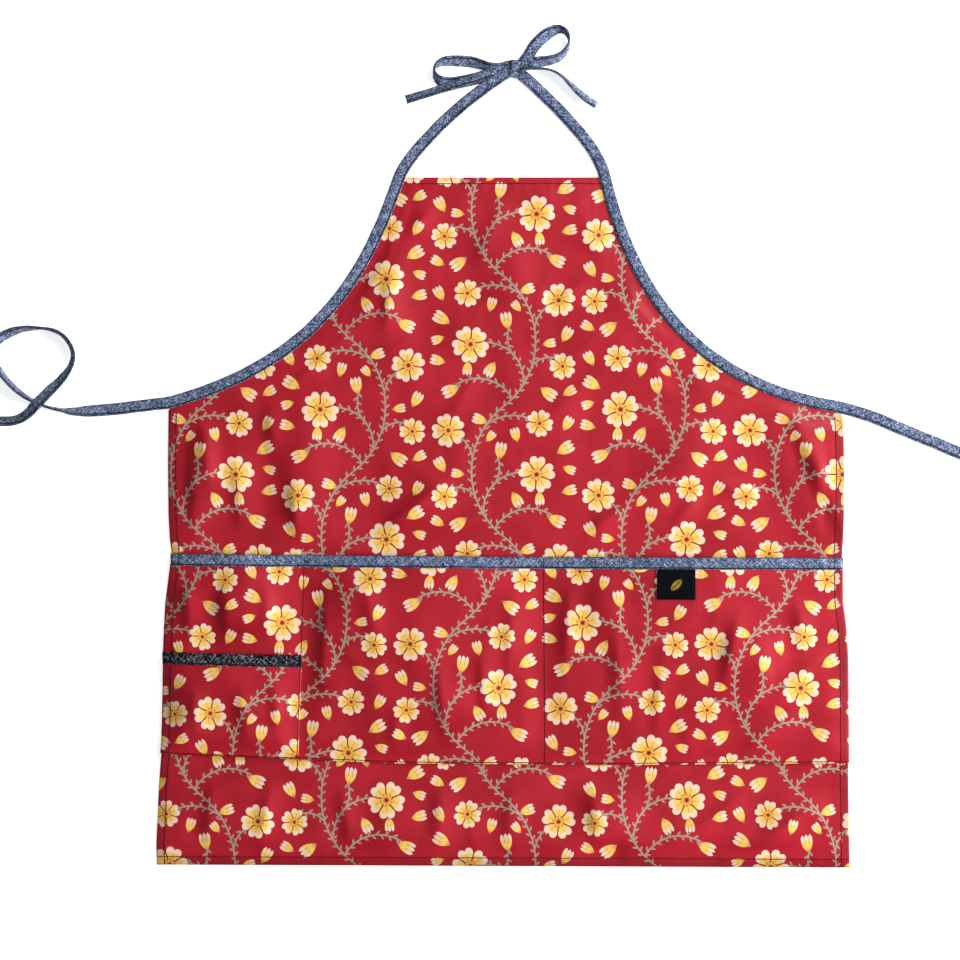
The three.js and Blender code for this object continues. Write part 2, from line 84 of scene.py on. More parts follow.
camera_data = bpy.data.cameras.new("camera")
camera_data.sensor_width = SENSOR
camera_data.lens = SENSOR * CAMERA_HEIGHT / FRAME_WIDTH
camera = bpy.data.objects.new("camera", camera_data)
camera.location = (*VIEW_CENTRE, CAMERA_HEIGHT)
bpy.context.scene.collection.objects.link(camera)
bpy.context.scene.camera = camera
print(f"lens {camera_data.lens:.0f} mm at {CAMERA_HEIGHT} m")


# %% Lights
def soft_box(name, place, size, watts, aim=(0.0, -0.05, 0.0)):
    data = bpy.data.lights.new(name, "AREA")
    data.size = size
    data.energy = watts
    light = bpy.data.objects.new(name, data)
    light.location = place
    light.rotation_euler = (Vector(aim) - Vector(place)).to_track_quat("-Z", "Y").to_euler()
    bpy.context.scene.collection.objects.link(light)


soft_box("key", (3.2, -0.35, 1.3), 1.2, 232)
soft_box("fill", (0.9, 1.1, 1.4), 0.8, 20)
soft_box("gloss", (0.3, -0.3, 2.6), 1.0, 4.5)

world = bpy.data.worlds.new("studio")
world.use_nodes = True
background = world.node_tree.nodes["Background"]
background.inputs["Color"].default_value = (0.96, 0.98, 1.0, 1.0)
background.inputs["Strength"].default_value = 0.2
bpy.context.scene.world = world
bpy.context.scene.view_settings.view_transform = "Standard"
print("three soft boxes and a pale world")

# %% [markdown]
# ## A small language for shader formulas
#
# A printed pattern, a weave and a stitch are all formulas. Written node by node they fill pages, so this
# helper lays the nodes and wires them. Each result can be added, multiplied and compared like a number, so
# a formula reads almost as it would on paper. A comparison gives 1 where it holds and 0 elsewhere.


# %% Shader sketches
class Value:
    """One result in a node tree. Arithmetic on it lays a math node."""

    def __init__(self, sketch, socket):
        self.sketch = sketch
        self.socket = socket

    def __rsub__(self, other):
        return self.sketch.math("SUBTRACT", other, self)


def arithmetic(operation):
    return lambda value, *others: value.sketch.math(operation, value, *others)


OPERATIONS = {
    "__add__": "ADD", "__sub__": "SUBTRACT", "__mul__": "MULTIPLY", "__truediv__": "DIVIDE",
    "__mod__": "FLOORED_MODULO", "__floor__": "FLOOR", "__abs__": "ABSOLUTE",
    "__lt__": "LESS_THAN", "__gt__": "GREATER_THAN",
}
for method, operation in OPERATIONS.items():
    setattr(Value, method, arithmetic(operation))


class Sketch:
    """Lays nodes in one tree. Each call returns the value that its node works out."""

    def __init__(self, tree):
        self.tree = tree

    def node(self, kind, **settings):
        made = self.tree.nodes.new(kind)
        for key, value in settings.items():
            setattr(made, key, value)
        return made

    def put(self, socket, value):
        value = getattr(value, "socket", value)
        if isinstance(value, bpy.types.NodeSocket):
            self.tree.links.new(value, socket)
        else:
            socket.default_value = value

    def result(self, made, *values, out=0):
        """Feed the values to a node's first sockets, in order, and read one of its outputs."""
        for socket, value in zip(made.inputs, values):
            self.put(socket, value)
        return Value(self, made.outputs[out])

    def math(self, operation, *values):
        return self.result(self.node("ShaderNodeMath", operation=operation), *values)

    def vector(self, operation, *values):
        made = self.node("ShaderNodeVectorMath", operation=operation)
        whole = operation in ("LENGTH", "DOT_PRODUCT")
        return self.result(made, *values, out="Value" if whole else "Vector")

    def split(self, vector):
        made = self.node("ShaderNodeSeparateXYZ")
        self.put(made.inputs[0], vector)
        return [Value(self, socket) for socket in made.outputs]

    def join(self, x, y):
        return self.result(self.node("ShaderNodeCombineXYZ"), x, y)

    def mix(self, kind, factor, first, second):
        made = self.node("ShaderNodeMix", data_type=kind)
        # the node keeps a pair of inputs and an output for each kind
        place = ("FLOAT", "VECTOR", "RGBA").index(kind)
        for index, value in zip((0, 2 * place + 2, 2 * place + 3), (factor, first, second)):
            self.put(made.inputs[index], value)
        return Value(self, made.outputs[place])

    def ramp(self, value, stops):
        made = self.node("ShaderNodeValToRGB")
        elements = made.color_ramp.elements
        while len(elements) < len(stops):
            elements.new(1.0)
        for element, (place, colour) in zip(elements, stops):
            element.position = place
            element.color = colour
        return self.result(made, value)

    def curve(self, value, points):
        made = self.node("ShaderNodeFloatCurve")
        line = made.mapping.curves[0]
        while len(line.points) < len(points):
            line.points.new(0.5, 0.5)
        for point, place in zip(line.points, points):
            point.location = place
        made.mapping.update()
        return self.result(made, 1.0, value)

    def noise(self, vector, scale, detail=2.0):
        made = self.node("ShaderNodeTexNoise")
        made.inputs["Scale"].default_value = scale
        made.inputs["Detail"].default_value = detail
        return self.result(made, vector)

    def white_noise(self, x, y):
        made = self.node("ShaderNodeTexWhiteNoise", noise_dimensions="2D")
        return self.result(made, self.join(x, y), out="Value")

    def woven(self, x, y, x_beat, y_beat):
        """Hills and hollows of crossing threads, between -1 and 1."""
        return self.math("SINE", x * x_beat) * self.math("SINE", y * y_beat)

    def attribute(self, name):
        return self.result(self.node("ShaderNodeAttribute", attribute_name=name), out="Vector")

    def object_place(self):
        return self.result(self.node("ShaderNodeTexCoord"), out="Object")


def ink(red, green, blue):
    """A colour given as it looks on a screen, 0 to 255, in the linear light that shaders use."""
    def linear(channel):
        share = channel / 255
        return share / 12.92 if share <= 0.04045 else ((share + 0.055) / 1.055) ** 2.4

    return (linear(red), linear(green), linear(blue), 1.0)


def new_material(name, roughness, specular=0.5):
    material = bpy.data.materials.new(name)
    material.use_nodes = True
    shader = material.node_tree.nodes["Principled BSDF"]
    shader.inputs["Roughness"].default_value = roughness
    shader.inputs["Specular IOR Level"].default_value = specular
    return material, shader, Sketch(material.node_tree)


def add_bump(sketch, shader, height, strength, distance):
    bump = sketch.node("ShaderNodeBump")
    bump.inputs["Strength"].default_value = strength
    bump.inputs["Distance"].default_value = distance * MM
    sketch.put(bump.inputs["Height"], height)
    sketch.put(shader.inputs["Normal"], bump.outputs[0])


print("shader sketches ready")

# %% [markdown]
# ## The print
#
# The cloth carries a small all-over flower print on red. A printed cloth repeats, and the usual repeats
# are a straight one, a half drop and a glide. Here a stem runs up each column in long waves: every second
# half wave is mirrored, and every second column is dropped by half. So one small tile of flowers, buds and
# stems fills the whole cloth without looking like a tile.
#
# The motifs are found by formula at each point. Flowers and buds do not overlap, so the point is first
# moved into the nearest motif's own circle, and each shape is then drawn only once.

# %% Tile of the print
TILE_WIDTH, TILE_HEIGHT = 150.0, 130.0
# x and y in the tile, size in millimetres, and turn in degrees
# the size is the radius of a blossom, and half the length of a bud
BLOSSOMS = [(-33, 62, 18.5, 17.2), (55, 106, 16.8, 63.0), (59, 40, 13.2, 0.0), (-36, 113, 13.6, 40.1)]
BUDS = [
    (-53, 16, 9.7, 205), (3, 86, 9.2, 100), (-62, 88, 9.7, 150), (63, 72, 8.6, 60), (-13, 37, 8.6, 240),
    (-66, 46, 8.1, 165), (45, 13, 9.7, -35), (24, 117, 8.1, 20), (-64, 113, 8.1, 120), (-66, 67, 7.0, 200),
    (-12, 102, 7.6, 75), (-36, 38, 7.6, 265), (66, 15, 7.6, 30), (46, 63, 7.0, 10), (13, 100, 6.5, 130),
]
# stems are arcs: centre, radius, the way from the centre to the arc's middle, and half its sweep, in degrees
STEMS = [
    (-50, 65, 82, 0, 52.5), (-18, 26, 38, 44, 51), (61, 75, 30, 140, 36), (46, 27, 22, 98, 45),
    (-26, -12, 40, 76, 47), (-10, 76, 45, 80, 30), (34, 69, 30, 190, 30),
]
STEM_HALF_WIDTH = 0.85
LEAF_STEP = 8.5  # from one leaf to the next on the same side of a stem
LEAF_OUT, LEAF_SIDE = 1.8, -1.5  # a leaf's middle, along the leaf and across it
LEAF_HALF_LENGTH, LEAF_HALF_WIDTH = 2.4, 0.95

# the red ground's random mottle, widened so that it also stands in for painted sheen and shade on the glossy
# film
RED_SHADE_MOTTLE, RED_SHEEN_MOTTLE = ink(149, 9, 26), ink(173, 22, 41)
RED_LINE = ink(126, 12, 26)
CREAM = ink(231, 201, 174)
YELLOW = ink(230, 188, 94)
DEEP_YELLOW = ink(212, 152, 56)
ORANGE = ink(176, 66, 36)
STEM_BEIGE = ink(156, 138, 121)
FAR_AWAY = 99.0
DIAGONAL = math.sqrt(0.5)


# %% Where a point of the cloth lies in the tile
def tile_point(sketch, cloth):
    """The point in its own tile, and a number from 0 to 1 that is the tile's alone."""
    x, y, _ = sketch.split(cloth)
    column = math.floor(x / TILE_WIDTH + 0.5)
    across = x - column * TILE_WIDTH
    along = y + column % 2.0 * (TILE_HEIGHT / 2)
    row = math.floor(along / TILE_HEIGHT)
    mirrored = 1.0 - row % 2.0 * 2.0
    point = sketch.join(across * mirrored, along - row * TILE_HEIGHT)
    return point, sketch.white_noise(column, row)


def nearest_motif(sketch, point, motifs):
    """The point in its motif's own frame, where the motif has size 1, or far away where there is none."""
    local = (FAR_AWAY, FAR_AWAY, 0.0)
    for x, y, size, turn in motifs:
        offset = sketch.vector("SUBTRACT", point, (x, y, 0.0))
        offset = sketch.vector("DIVIDE", offset, (size, size, size))
        turned = sketch.node("ShaderNodeVectorRotate", rotation_type="Z_AXIS")
        sketch.put(turned.inputs["Vector"], offset)
        turned.inputs["Angle"].default_value = -math.radians(turn)
        local = sketch.mix("VECTOR", sketch.vector("LENGTH", offset) < 1.25, local, turned.outputs[0])
    return local


# %% Blossom: five heart-shaped petals round a dotted eye
PETALS = 5
PETAL_RIM = [(0.0, 0.84), (0.12, 0.93), (0.42, 1.0), (0.78, 0.88), (1.0, 0.5)]
PETAL_STOPS = [
    (0.0, RED_LINE), (0.09, RED_LINE), (0.12, ORANGE), (0.17, DEEP_YELLOW), (0.44, YELLOW),
    (0.68, YELLOW), (0.77, CREAM), (1.0, CREAM),
]
# shares of the blossom's radius
VEIN_HALF_WIDTH, VEIN_MIDDLE, VEIN_HALF_LENGTH = 0.07, 0.58, 0.2
STAMEN_RING, STAMEN_SIZE = 0.3, 0.05
PETAL_LINE = 0.06


def blossom(sketch, point, chance):
    local = nearest_motif(sketch, point, BLOSSOMS)
    x, y, _ = sketch.split(local)
    reach = sketch.vector("LENGTH", local)
    turned = chance * 3.0 + sketch.math("ARCTAN2", y, x)
    petal = sketch.math("FRACT", turned * (PETALS / math.tau))
    # 0 on a petal's middle line, 1 in the gap between two petals
    gap = abs(petal * 2.0 - 1.0)
    depth = reach / sketch.curve(gap, PETAL_RIM)
    colour = sketch.ramp(depth, PETAL_STOPS)
    # a vein runs out along the middle of each petal
    vein = (gap * reach < VEIN_HALF_WIDTH) * sketch.math("COMPARE", depth, VEIN_MIDDLE, VEIN_HALF_LENGTH)
    colour = sketch.mix("RGBA", vein * 0.7, colour, DEEP_YELLOW)
    # two stamens to each petal
    dot = sketch.math("SINE", turned * (2 * PETALS)) > 0.3
    stamens = dot * sketch.math("COMPARE", reach, STAMEN_RING, STAMEN_SIZE)
    colour = sketch.mix("RGBA", stamens * 0.85, colour, ORANGE)
    # a fine red line parts the petals, out from the stamens
    parted = ((1.0 - gap) * reach < PETAL_LINE) * (reach > STAMEN_RING)
    colour = sketch.mix("RGBA", parted, colour, RED_LINE)
    return colour, depth < 1.0


# %% Bud: a small tulip with three pointed petals
BUD_WIDTH = [(0.0, 0.05), (0.1, 0.18), (0.3, 0.46), (0.55, 0.6), (0.8, 0.6), (1.0, 0.5)]
BUD_STOPS = [
    (0.0, STEM_BEIGE), (0.13, STEM_BEIGE), (0.16, DEEP_YELLOW), (0.4, YELLOW), (0.64, YELLOW),
    (0.75, CREAM), (1.0, CREAM),
]
TIP_STEP = 0.42  # from one point of the tulip to the next
TIP_SLOPE, TIP_LAG = 1.3, 0.12  # depth of the notches, and how far the outer points stay behind
BUD_LINE = 0.035


def bud(sketch, point):
    x, y, _ = sketch.split(nearest_motif(sketch, point, BUDS))
    aside = abs(y)
    # the tip is a zigzag of three points, and the middle one is the longest
    zigzag = sketch.math("PINGPONG", aside, TIP_STEP / 2)
    along = (x + aside * TIP_LAG + zigzag * TIP_SLOPE) * 0.5 + 0.5
    width = sketch.math("MAXIMUM", sketch.curve(x * 0.5 + 0.5, BUD_WIDTH), 0.01)
    line = sketch.math("COMPARE", aside, TIP_STEP / 2, BUD_LINE) * (x > -0.1)
    colour = sketch.mix("RGBA", line * 0.8, sketch.ramp(along, BUD_STOPS), ORANGE)
    return colour, (aside / width < 1.0) * sketch.math("COMPARE", along, 0.49, 0.49)


# %% Stems with small leaves
def stem(sketch, point):
    offset, along = FAR_AWAY, 0.0
    for x, y, radius, middle, sweep in STEMS:
        c, s = math.cos(math.radians(middle)), math.sin(math.radians(middle))
        spoke = sketch.vector("SUBTRACT", point, (x, y, 0.0))
        ahead = sketch.vector("DOT_PRODUCT", spoke, (c, s, 0.0))
        swept = sketch.math("ARCTAN2", sketch.vector("DOT_PRODUCT", spoke, (-s, c, 0.0)), ahead)
        off = sketch.vector("LENGTH", spoke) - radius
        nearest = (abs(swept) < math.radians(sweep)) * (abs(off) < abs(offset))
        offset = sketch.mix("FLOAT", nearest, offset, off)
        along = sketch.mix("FLOAT", nearest, along, swept * radius)
    wide = abs(offset)
    # leaves stand left and right in turn: the second row is shifted by half a step
    shifted = along + (offset > 0.0) * (LEAF_STEP / 2)
    step = sketch.math("FRACT", shifted / LEAF_STEP) * LEAF_STEP - LEAF_STEP / 2
    out = ((step + wide) * DIAGONAL - LEAF_OUT) / LEAF_HALF_LENGTH
    side = ((step - wide) * DIAGONAL - LEAF_SIDE) / LEAF_HALF_WIDTH
    leaf = out * out + side * side < 1.0
    return sketch.math("MAXIMUM", wide < STEM_HALF_WIDTH, leaf)


# %% The whole print as one node group
def print_group():
    tree = bpy.data.node_groups.new("sprig_print", "ShaderNodeTree")
    tree.interface.new_socket("Cloth", in_out="INPUT", socket_type="NodeSocketVector")
    tree.interface.new_socket("Color", in_out="OUTPUT", socket_type="NodeSocketColor")
    sketch = Sketch(tree)
    cloth = sketch.node("NodeGroupInput").outputs[0]
    point, chance = tile_point(sketch, cloth)
    # the red ground: a random mottle in the ink, and partly painted sheen and shade of the film
    ground = sketch.ramp(sketch.noise(cloth, 0.02, 3.0), [(0.3, RED_SHADE_MOTTLE), (0.7, RED_SHEEN_MOTTLE)])
    colour = sketch.mix("RGBA", stem(sketch, point), ground, STEM_BEIGE)
    for motif, here in (bud(sketch, point), blossom(sketch, point, chance)):
        colour = sketch.mix("RGBA", here, colour, motif)
    sketch.put(sketch.node("NodeGroupOutput").inputs[0], colour)
    return tree


sprig_print = print_group()
print(f"print: {len(sprig_print.nodes)} nodes for {len(BLOSSOMS)} blossoms and {len(BUDS)} buds in a tile")

# %% [markdown]
# ## Cloth finishes
#
# The front of the cloth is laminated: a thin clear film over the print gives it a soft gloss. The back is
# plain cotton, where the print shows through as a pale ghost. A fine grain from the weave runs under both.


# %% Printed front and pale back
# painted shade: the hems are darkened by this share of dark red, standing in for the shade that falls along
# them
HEM_PAINTED_SHADE = 0.3  # share of dark red mixed into a hem's two layers
CLOTH_BEAT = 6.2
FADED = 0.78  # share of pale pink on the back


def print_and_hem_shade(sketch):
    cloth = sketch.attribute("cloth_at")
    printed = sketch.result(sketch.node("ShaderNodeGroup", node_tree=sprig_print), cloth)
    # painted shade along the hems: dark red mixed in by the hem share kept in cloth_at's third value
    return sketch.mix("RGBA", sketch.split(cloth)[2] * HEM_PAINTED_SHADE, printed, ink(60, 4, 12))


def add_grain(sketch, shader, strength):
    cloth = sketch.attribute("cloth_at")
    x, y, _ = sketch.split(cloth)
    grain = sketch.woven(x, y, CLOTH_BEAT, CLOTH_BEAT) * 0.25 + sketch.noise(cloth, 0.35, 4.0)
    add_bump(sketch, shader, grain, strength, 0.5)


printed_cloth, shader, sketch = new_material("printed_cloth", 0.44, 0.28)
sketch.put(shader.inputs["Base Color"], print_and_hem_shade(sketch))
add_grain(sketch, shader, 0.16)

reverse_cloth, shader, sketch = new_material("reverse_cloth", 0.85)
faded = sketch.mix("RGBA", FADED, print_and_hem_shade(sketch), ink(226, 190, 184))
sketch.put(shader.inputs["Base Color"], faded)
add_grain(sketch, shader, 0.4)
print("printed_cloth and reverse_cloth")

# %% [markdown]
# Chambray has dark threads one way and white threads the other. The tape is cut on the bias, so its threads
# cross at 45 degrees to its length. Each thread has light and dark stretches, and each crossing has a shade
# of its own. The dark pocket binding is the same weave in black and grey.


# %% Bias-woven tape
TAPE_WIDTH = 12.0
THREAD = 0.8  # thread spacing in millimetres
FLOAT_LENGTH = 5.5  # how far a thread keeps one shade
GRAIN, STREAK = 0.7, 0.42  # contrast of the crossings and of the single threads
SEAM_AT, SEAM_HALF = 3.8, 1.0  # where the stitched valley runs, from the tape's middle
SEAM_SHIFT = 0.7  # it runs this much nearer the open edge where the tape grips cloth
# the colour of the painted shade in the seam's valley and at the tape's edges
SEAM_SHADE = ink(8, 13, 30)


def bias_weave(name, stops, sheen):
    material, shader, sketch = new_material(name, 0.9, sheen)
    shader.inputs["Sheen Weight"].default_value = sheen
    x, y, width = sketch.split(sketch.attribute("tape_at"))
    warp, weft = (x + y) * DIAGONAL, (x - y) * DIAGONAL
    lanes = [math.floor(across / THREAD) for across in (weft, warp)]
    tone = sketch.white_noise(*lanes) * GRAIN + (0.5 - GRAIN / 2 - STREAK)
    for along, lane, seed in zip((warp, weft), lanes, (0.37, 0.61)):
        # each thread starts its light and dark lengths at another place
        length = math.floor(along / FLOAT_LENGTH + lane * seed)
        tone = sketch.white_noise(length + seed, lane) * STREAK + tone
    # the cloth is drawn in along the stitched valley, and painted shade darkens it there and at both edges
    off_seam = abs(width - SEAM_AT) / SEAM_HALF
    off_edge = TAPE_WIDTH / 2 - abs(width)
    lit = sketch.math("MINIMUM", off_seam * 0.75 + 0.08, off_edge * 0.5 + 0.35)
    shade = 1.0 - sketch.math("MINIMUM", lit, 1.0)
    colour = sketch.mix("RGBA", shade, sketch.ramp(tone, stops), SEAM_SHADE)
    sketch.put(shader.inputs["Base Color"], colour)
    add_bump(sketch, shader, abs(sketch.woven(warp, weft, math.pi / THREAD, math.pi / THREAD)), 0.5, 0.25)
    return material


chambray = bias_weave("chambray", [
    (0.0, ink(20, 33, 64)), (0.35, ink(65, 79, 107)), (0.65, ink(99, 112, 141)), (1.0, ink(170, 181, 205)),
], 0.1)
dark_denim = bias_weave("dark_denim", [
    (0.0, ink(0, 0, 1)), (0.35, ink(8, 8, 12)), (0.65, ink(44, 44, 51)), (1.0, ink(142, 141, 148)),
], 0.03)
print("chambray and dark_denim")


# %% Thread
def thread_material(name, dark, light):
    material, shader, sketch = new_material(name, 0.7, 0.15)
    tone = sketch.noise(sketch.object_place(), 900.0)
    sketch.put(shader.inputs["Base Color"], sketch.ramp(tone, [(0.3, dark), (0.7, light)]))
    return material


dark_thread = thread_material("dark_thread", ink(6, 9, 22), ink(24, 28, 48))
red_thread = thread_material("red_thread", ink(78, 3, 12), ink(112, 7, 22))
print("dark_thread and red_thread")

# %% Label with a small woven leaf
LABEL_DARK, LABEL_LIGHT, LEAF_GOLD = ink(2, 3, 5), ink(13, 16, 22), ink(146, 118, 44)
LABEL_BEATS = (9.0, 7.0)
LEAF_CENTRE, LEAF_LONG, LEAF_WIDE = (172.0, -178.0), 8.0, 3.6
LEAF_VEIN = 0.4

label_weave, shader, sketch = new_material("label_weave", 0.72, 0.04)
x, y, _ = sketch.split(sketch.attribute("cloth_at"))
threads = sketch.woven(x, y, *LABEL_BEATS)
base = sketch.ramp(threads * 0.5 + 0.5, [(0.2, LABEL_DARK), (1.0, LABEL_LIGHT)])
# the leaf is two arcs that meet in points, with a bare vein
right, up = x - LEAF_CENTRE[0], y - LEAF_CENTRE[1]
long_way = (right + up) * DIAGONAL / LEAF_LONG
off_vein = abs((right - up) * DIAGONAL)
leaf = (off_vein < (1.0 - long_way * long_way) * LEAF_WIDE) * (off_vein > LEAF_VEIN)
sketch.put(shader.inputs["Base Color"], sketch.mix("RGBA", leaf, base, LEAF_GOLD))
add_bump(sketch, shader, threads, 0.5, 0.2)
print("label_weave")

# %% [markdown]
# ## The shape of the laid cloth
#
# The outline, the broad folds and the pockets' seams below are the CAD model's own. They are repeated here
# because the visible cloth has to lie where the solids lie. On top of them come the small creases and
# puckers that only a fine mesh can carry.

# %% Small tools for tables
def lerp(low, high, share):
    return low + (high - low) * share


def clamp(value, low=0.0, high=1.0):
    return min(max(value, low), high)


def soft_step(value, low, high):
    share = clamp((value - low) / (high - low))
    return share * share * (3 - 2 * share)


def between(rows, at):
    """A table's second column at a place in its first column."""
    for (start, low), (end, high) in zip(rows, rows[1:]):
        if at <= end:
            return lerp(low, high, clamp((at - start) / (end - start)))
    return rows[-1][1]


def bell(share):
    return math.cos(math.pi * share / 2) ** 2 if abs(share) < 1 else 0.0


# %% Outline of the body
CLOTH, LEAF, GAP = 1.0, 0.9, 0.3  # one layer of cloth, one leaf of tape, and the air between two layers
SEAT = LEAF + GAP  # what lies under a cloth edge that sits in a folded tape
EDGE_IN_TAPE = 2.0  # how far a cloth edge stops short of the tape's fold
BIB_TOP, HEM_LINE = 229.0, -458.0
SIDE_HEM, BOTTOM_HEM, TOP_HEM = 10.0, 9.0, 7.0
# heights, and half the width there
SIDE_SEAM = [(-458, 346), (-250, 342), (-145, 335), (12, 335)]
# the tape's outer edge round each armhole, as a Bezier curve from the bib's corner to the waist
ARMHOLES = {
    -1: [(-110.5, 229), (-143, 135), (-190, 49), (-335, 10)],
    1: [(107.5, 229), (132, 130), (186, 29), (337, 5)],
}
ARMHOLE_SAMPLES = 160


def side_half(y):
    return between(SIDE_SEAM, y)


def armhole_point(side, t, inset):
    """A place on one armhole, set in from the tape's outer edge."""
    a, b, c, d = (Vector(p) for p in ARMHOLES[side])
    s = 1 - t
    place = a * s**3 + b * (3 * s * s * t) + c * (3 * s * t * t) + d * t**3
    run = ((b - a) * (s * s) + (c - b) * (2 * s * t) + (d - c) * (t * t)).normalized()
    return place + Vector((run.y, -run.x)) * (side * inset)


armhole_trees = {}
for side in ARMHOLES:
    tree = kdtree.KDTree(ARMHOLE_SAMPLES + 1)
    for index in range(ARMHOLE_SAMPLES + 1):
        tree.insert((*armhole_point(side, index / ARMHOLE_SAMPLES, 0), 0), index)
    tree.balance()
    armhole_trees[side] = tree


def armhole_distance(x, y):
    return armhole_trees[-1 if x < 0 else 1].find((x, y, 0))[2]


def body_edge(side, y):
    """Where the cloth ends at one height: at the side, or in the armhole's tape."""
    low, high = 0.0, 1.0
    if armhole_point(side, high, EDGE_IN_TAPE).y >= y:
        return side * side_half(y)
    for _ in range(30):
        middle = (low + high) / 2
        if armhole_point(side, middle, EDGE_IN_TAPE).y > y:
            low = middle
        else:
            high = middle
    return side * min(abs(armhole_point(side, low, EDGE_IN_TAPE).x), side_half(y))


print(f"hem {2 * side_half(HEM_LINE):.0f} mm wide, bib to hem {BIB_TOP - HEM_LINE:.0f} mm")

# %% Broad folds and small creases
# the two ends of each ridge, its half width and its height
FOLDS = [
    (-205, 45, -190, -170, 46, 4.5), (-290, 0, -312, -150, 40, 3.5), (-165, -150, 0, -45, 44, 3.5),
    (35, 40, 185, 120, 44, 3.0), (235, 50, 115, -160, 50, 4.0), (255, 25, 325, -150, 40, 4.5),
    (-115, 190, -120, 20, 42, 3.0), (-15, 215, 30, 70, 44, 2.5), (100, -350, 112, -470, 44, 3.0),
    (330, -390, 190, -455, 42, 3.0), (-95, -360, -135, -470, 44, 2.5), (-260, -365, -270, -470, 42, 2.5),
]
# sharper creases: upper and lower end, half width on the shaded and on the lit side, and height
BODY_CREASES = [
    (-302, 4, -292, -96, 15, 25, 4.0), (-268, -20, -262, -140, 16, 27, 3.4),
    (-236, 20, -228, -60, 14, 23, 2.9), (-212, -56, -204, -150, 15, 25, 4.0),
    (-40, -62, -140, -140, 17, 28, 4.4), (-8, -98, -96, -146, 14, 23, 2.9),
    (-12, 60, -72, -44, 17, 28, 2.3), (120, 52, 20, -30, 16, 27, 2.5), (140, -84, 66, -142, 16, 27, 3.8),
    (215, -60, 150, -146, 16, 27, 3.4), (192, -68, 272, -100, 15, 25, 3.1),
    (-112, 140, -118, 66, 14, 23, 3.4), (-62, 202, -104, 168, 14, 23, 2.5),
    (56, 168, 130, 150, 13, 21, 2.5), (104, 142, 36, 88, 15, 25, 2.2), (4, 210, -30, 130, 16, 27, 1.8),
    (-290, -362, -296, -452, 15, 25, 2.9), (-228, -360, -246, -452, 16, 27, 3.4),
    (-166, -362, -150, -450, 15, 25, 2.9), (-60, -362, -66, -450, 16, 27, 2.9),
    (10, -364, 2, -450, 15, 25, 2.3), (86, -362, 96, -450, 16, 27, 3.0),
    (262, -370, 168, -442, 17, 28, 3.8), (332, -382, 236, -448, 17, 28, 3.8),
    (214, -404, 138, -452, 15, 25, 2.5),
]
CORNER_LIFT = (266, 46, 358, -174, 18, 150, 6.5)  # the right edge stands off the floor here
CORNER_FADE = 22.0
PANEL_CREASES = [
    (-318, -160, -314, -244, 14, 23, 2.9), (-280, -162, -276, -242, 16, 27, 3.4),
    (-238, -160, -236, -240, 15, 25, 2.9), (-176, -166, -182, -300, 15, 25, 3.8),
    (-142, -158, -120, -262, 20, 32, 3.8), (-66, -236, -58, -348, 14, 23, 3.8),
    (-24, -226, -16, -334, 15, 25, 3.4), (10, -166, 4, -300, 15, 25, 2.9),
    (-104, -290, -112, -352, 14, 23, 2.5), (68, -166, 60, -280, 15, 25, 3.1),
    (110, -196, 118, -322, 16, 27, 3.0), (160, -226, 150, -350, 15, 25, 3.0),
    (238, -188, 214, -304, 17, 28, 4.7), (326, -236, 256, -306, 17, 28, 3.4),
    (290, -176, 298, -262, 15, 25, 2.9), (304, -300, 226, -350, 16, 27, 3.1),
]
SMALL_CREASES = [
    (-312, -258, -308, -344, 14, 23, 2.5), (-264, -264, -256, -348, 15, 25, 2.9),
    (-230, -258, -226, -334, 13, 21, 2.3),
]
# broad soft swells of the pocket panel, in the columns of the folds
PANEL_SWELLS = [
    (-158, -140, -150, -280, 42, 4.5), (-256, -140, -264, -262, 36, 3.5), (240, -190, 256, -310, 36, 4.0),
    (104, -140, 101, -250, 26, 2.4), (-44, -236, -40, -356, 26, 2.6),
]
CREASE_SEED, CREASE_ROUND = 11, 0.06
# random creases: the angle's mean and spread in degrees, and ranges of half length, half width and height
CREASE_ANGLE, CREASE_HALF, CREASE_WIDTH, CREASE_HEIGHT = (90, 38), (18, 55), (8, 14), (0.4, 1.1)
LIT_SIDE = 1.6  # a crease is wider on its lit side
# unrest of the cloth: sizes across and along, shift of the seed, and height
RIPPLES = [(60, 75, 0, 1.3), (28, 70, 3, 0.8), (16, 20, 5, 0.2)]
RIPPLE_LEVEL = 1.5


def crisp(share):
    """The section of a crease in coated cloth: a sharp top that runs out softly on both sides."""
    return max(1 - math.hypot(share, CREASE_ROUND), 0.0) ** 2


def ridge(row, x, y, section):
    from_x, from_y, to_x, to_y, *widths, height = row
    run_x, run_y = to_x - from_x, to_y - from_y
    length = math.hypot(run_x, run_y)
    across = ((x - from_x) * run_y - (y - from_y) * run_x) / length
    width = widths[0] if across > 0 else widths[-1]
    if abs(across) >= width:
        return 0.0
    along = ((x - from_x) * run_x + (y - from_y) * run_y) / length
    return height * bell(2 * along / length - 1) * section(across / width)


def scatter_creases(count, box, seed):
    """Short faint creases at random, most of them steep, as cloth keeps from having been folded and worn."""
    chance = random.Random(seed)
    rows = []
    for _ in range(count):
        x, y = chance.uniform(box[0], box[1]), chance.uniform(box[2], box[3])
        angle = math.radians(chance.gauss(*CREASE_ANGLE))
        half = chance.uniform(*CREASE_HALF)
        run_x, run_y = half * math.cos(angle), half * math.sin(angle)
        width, height = chance.uniform(*CREASE_WIDTH), chance.uniform(*CREASE_HEIGHT)
        rows.append((x + run_x, y + run_y, x - run_x, y - run_y, width, LIT_SIDE * width, height))
    return rows


BODY_CREASES += scatter_creases(50, (-335, 335, -450, 220), CREASE_SEED)
PANEL_CREASES += scatter_creases(26, (-335, 335, -350, -155), CREASE_SEED + 1)


def creased(rows, x, y, section=crisp):
    return sum(ridge(row, x, y, section) for row in rows)


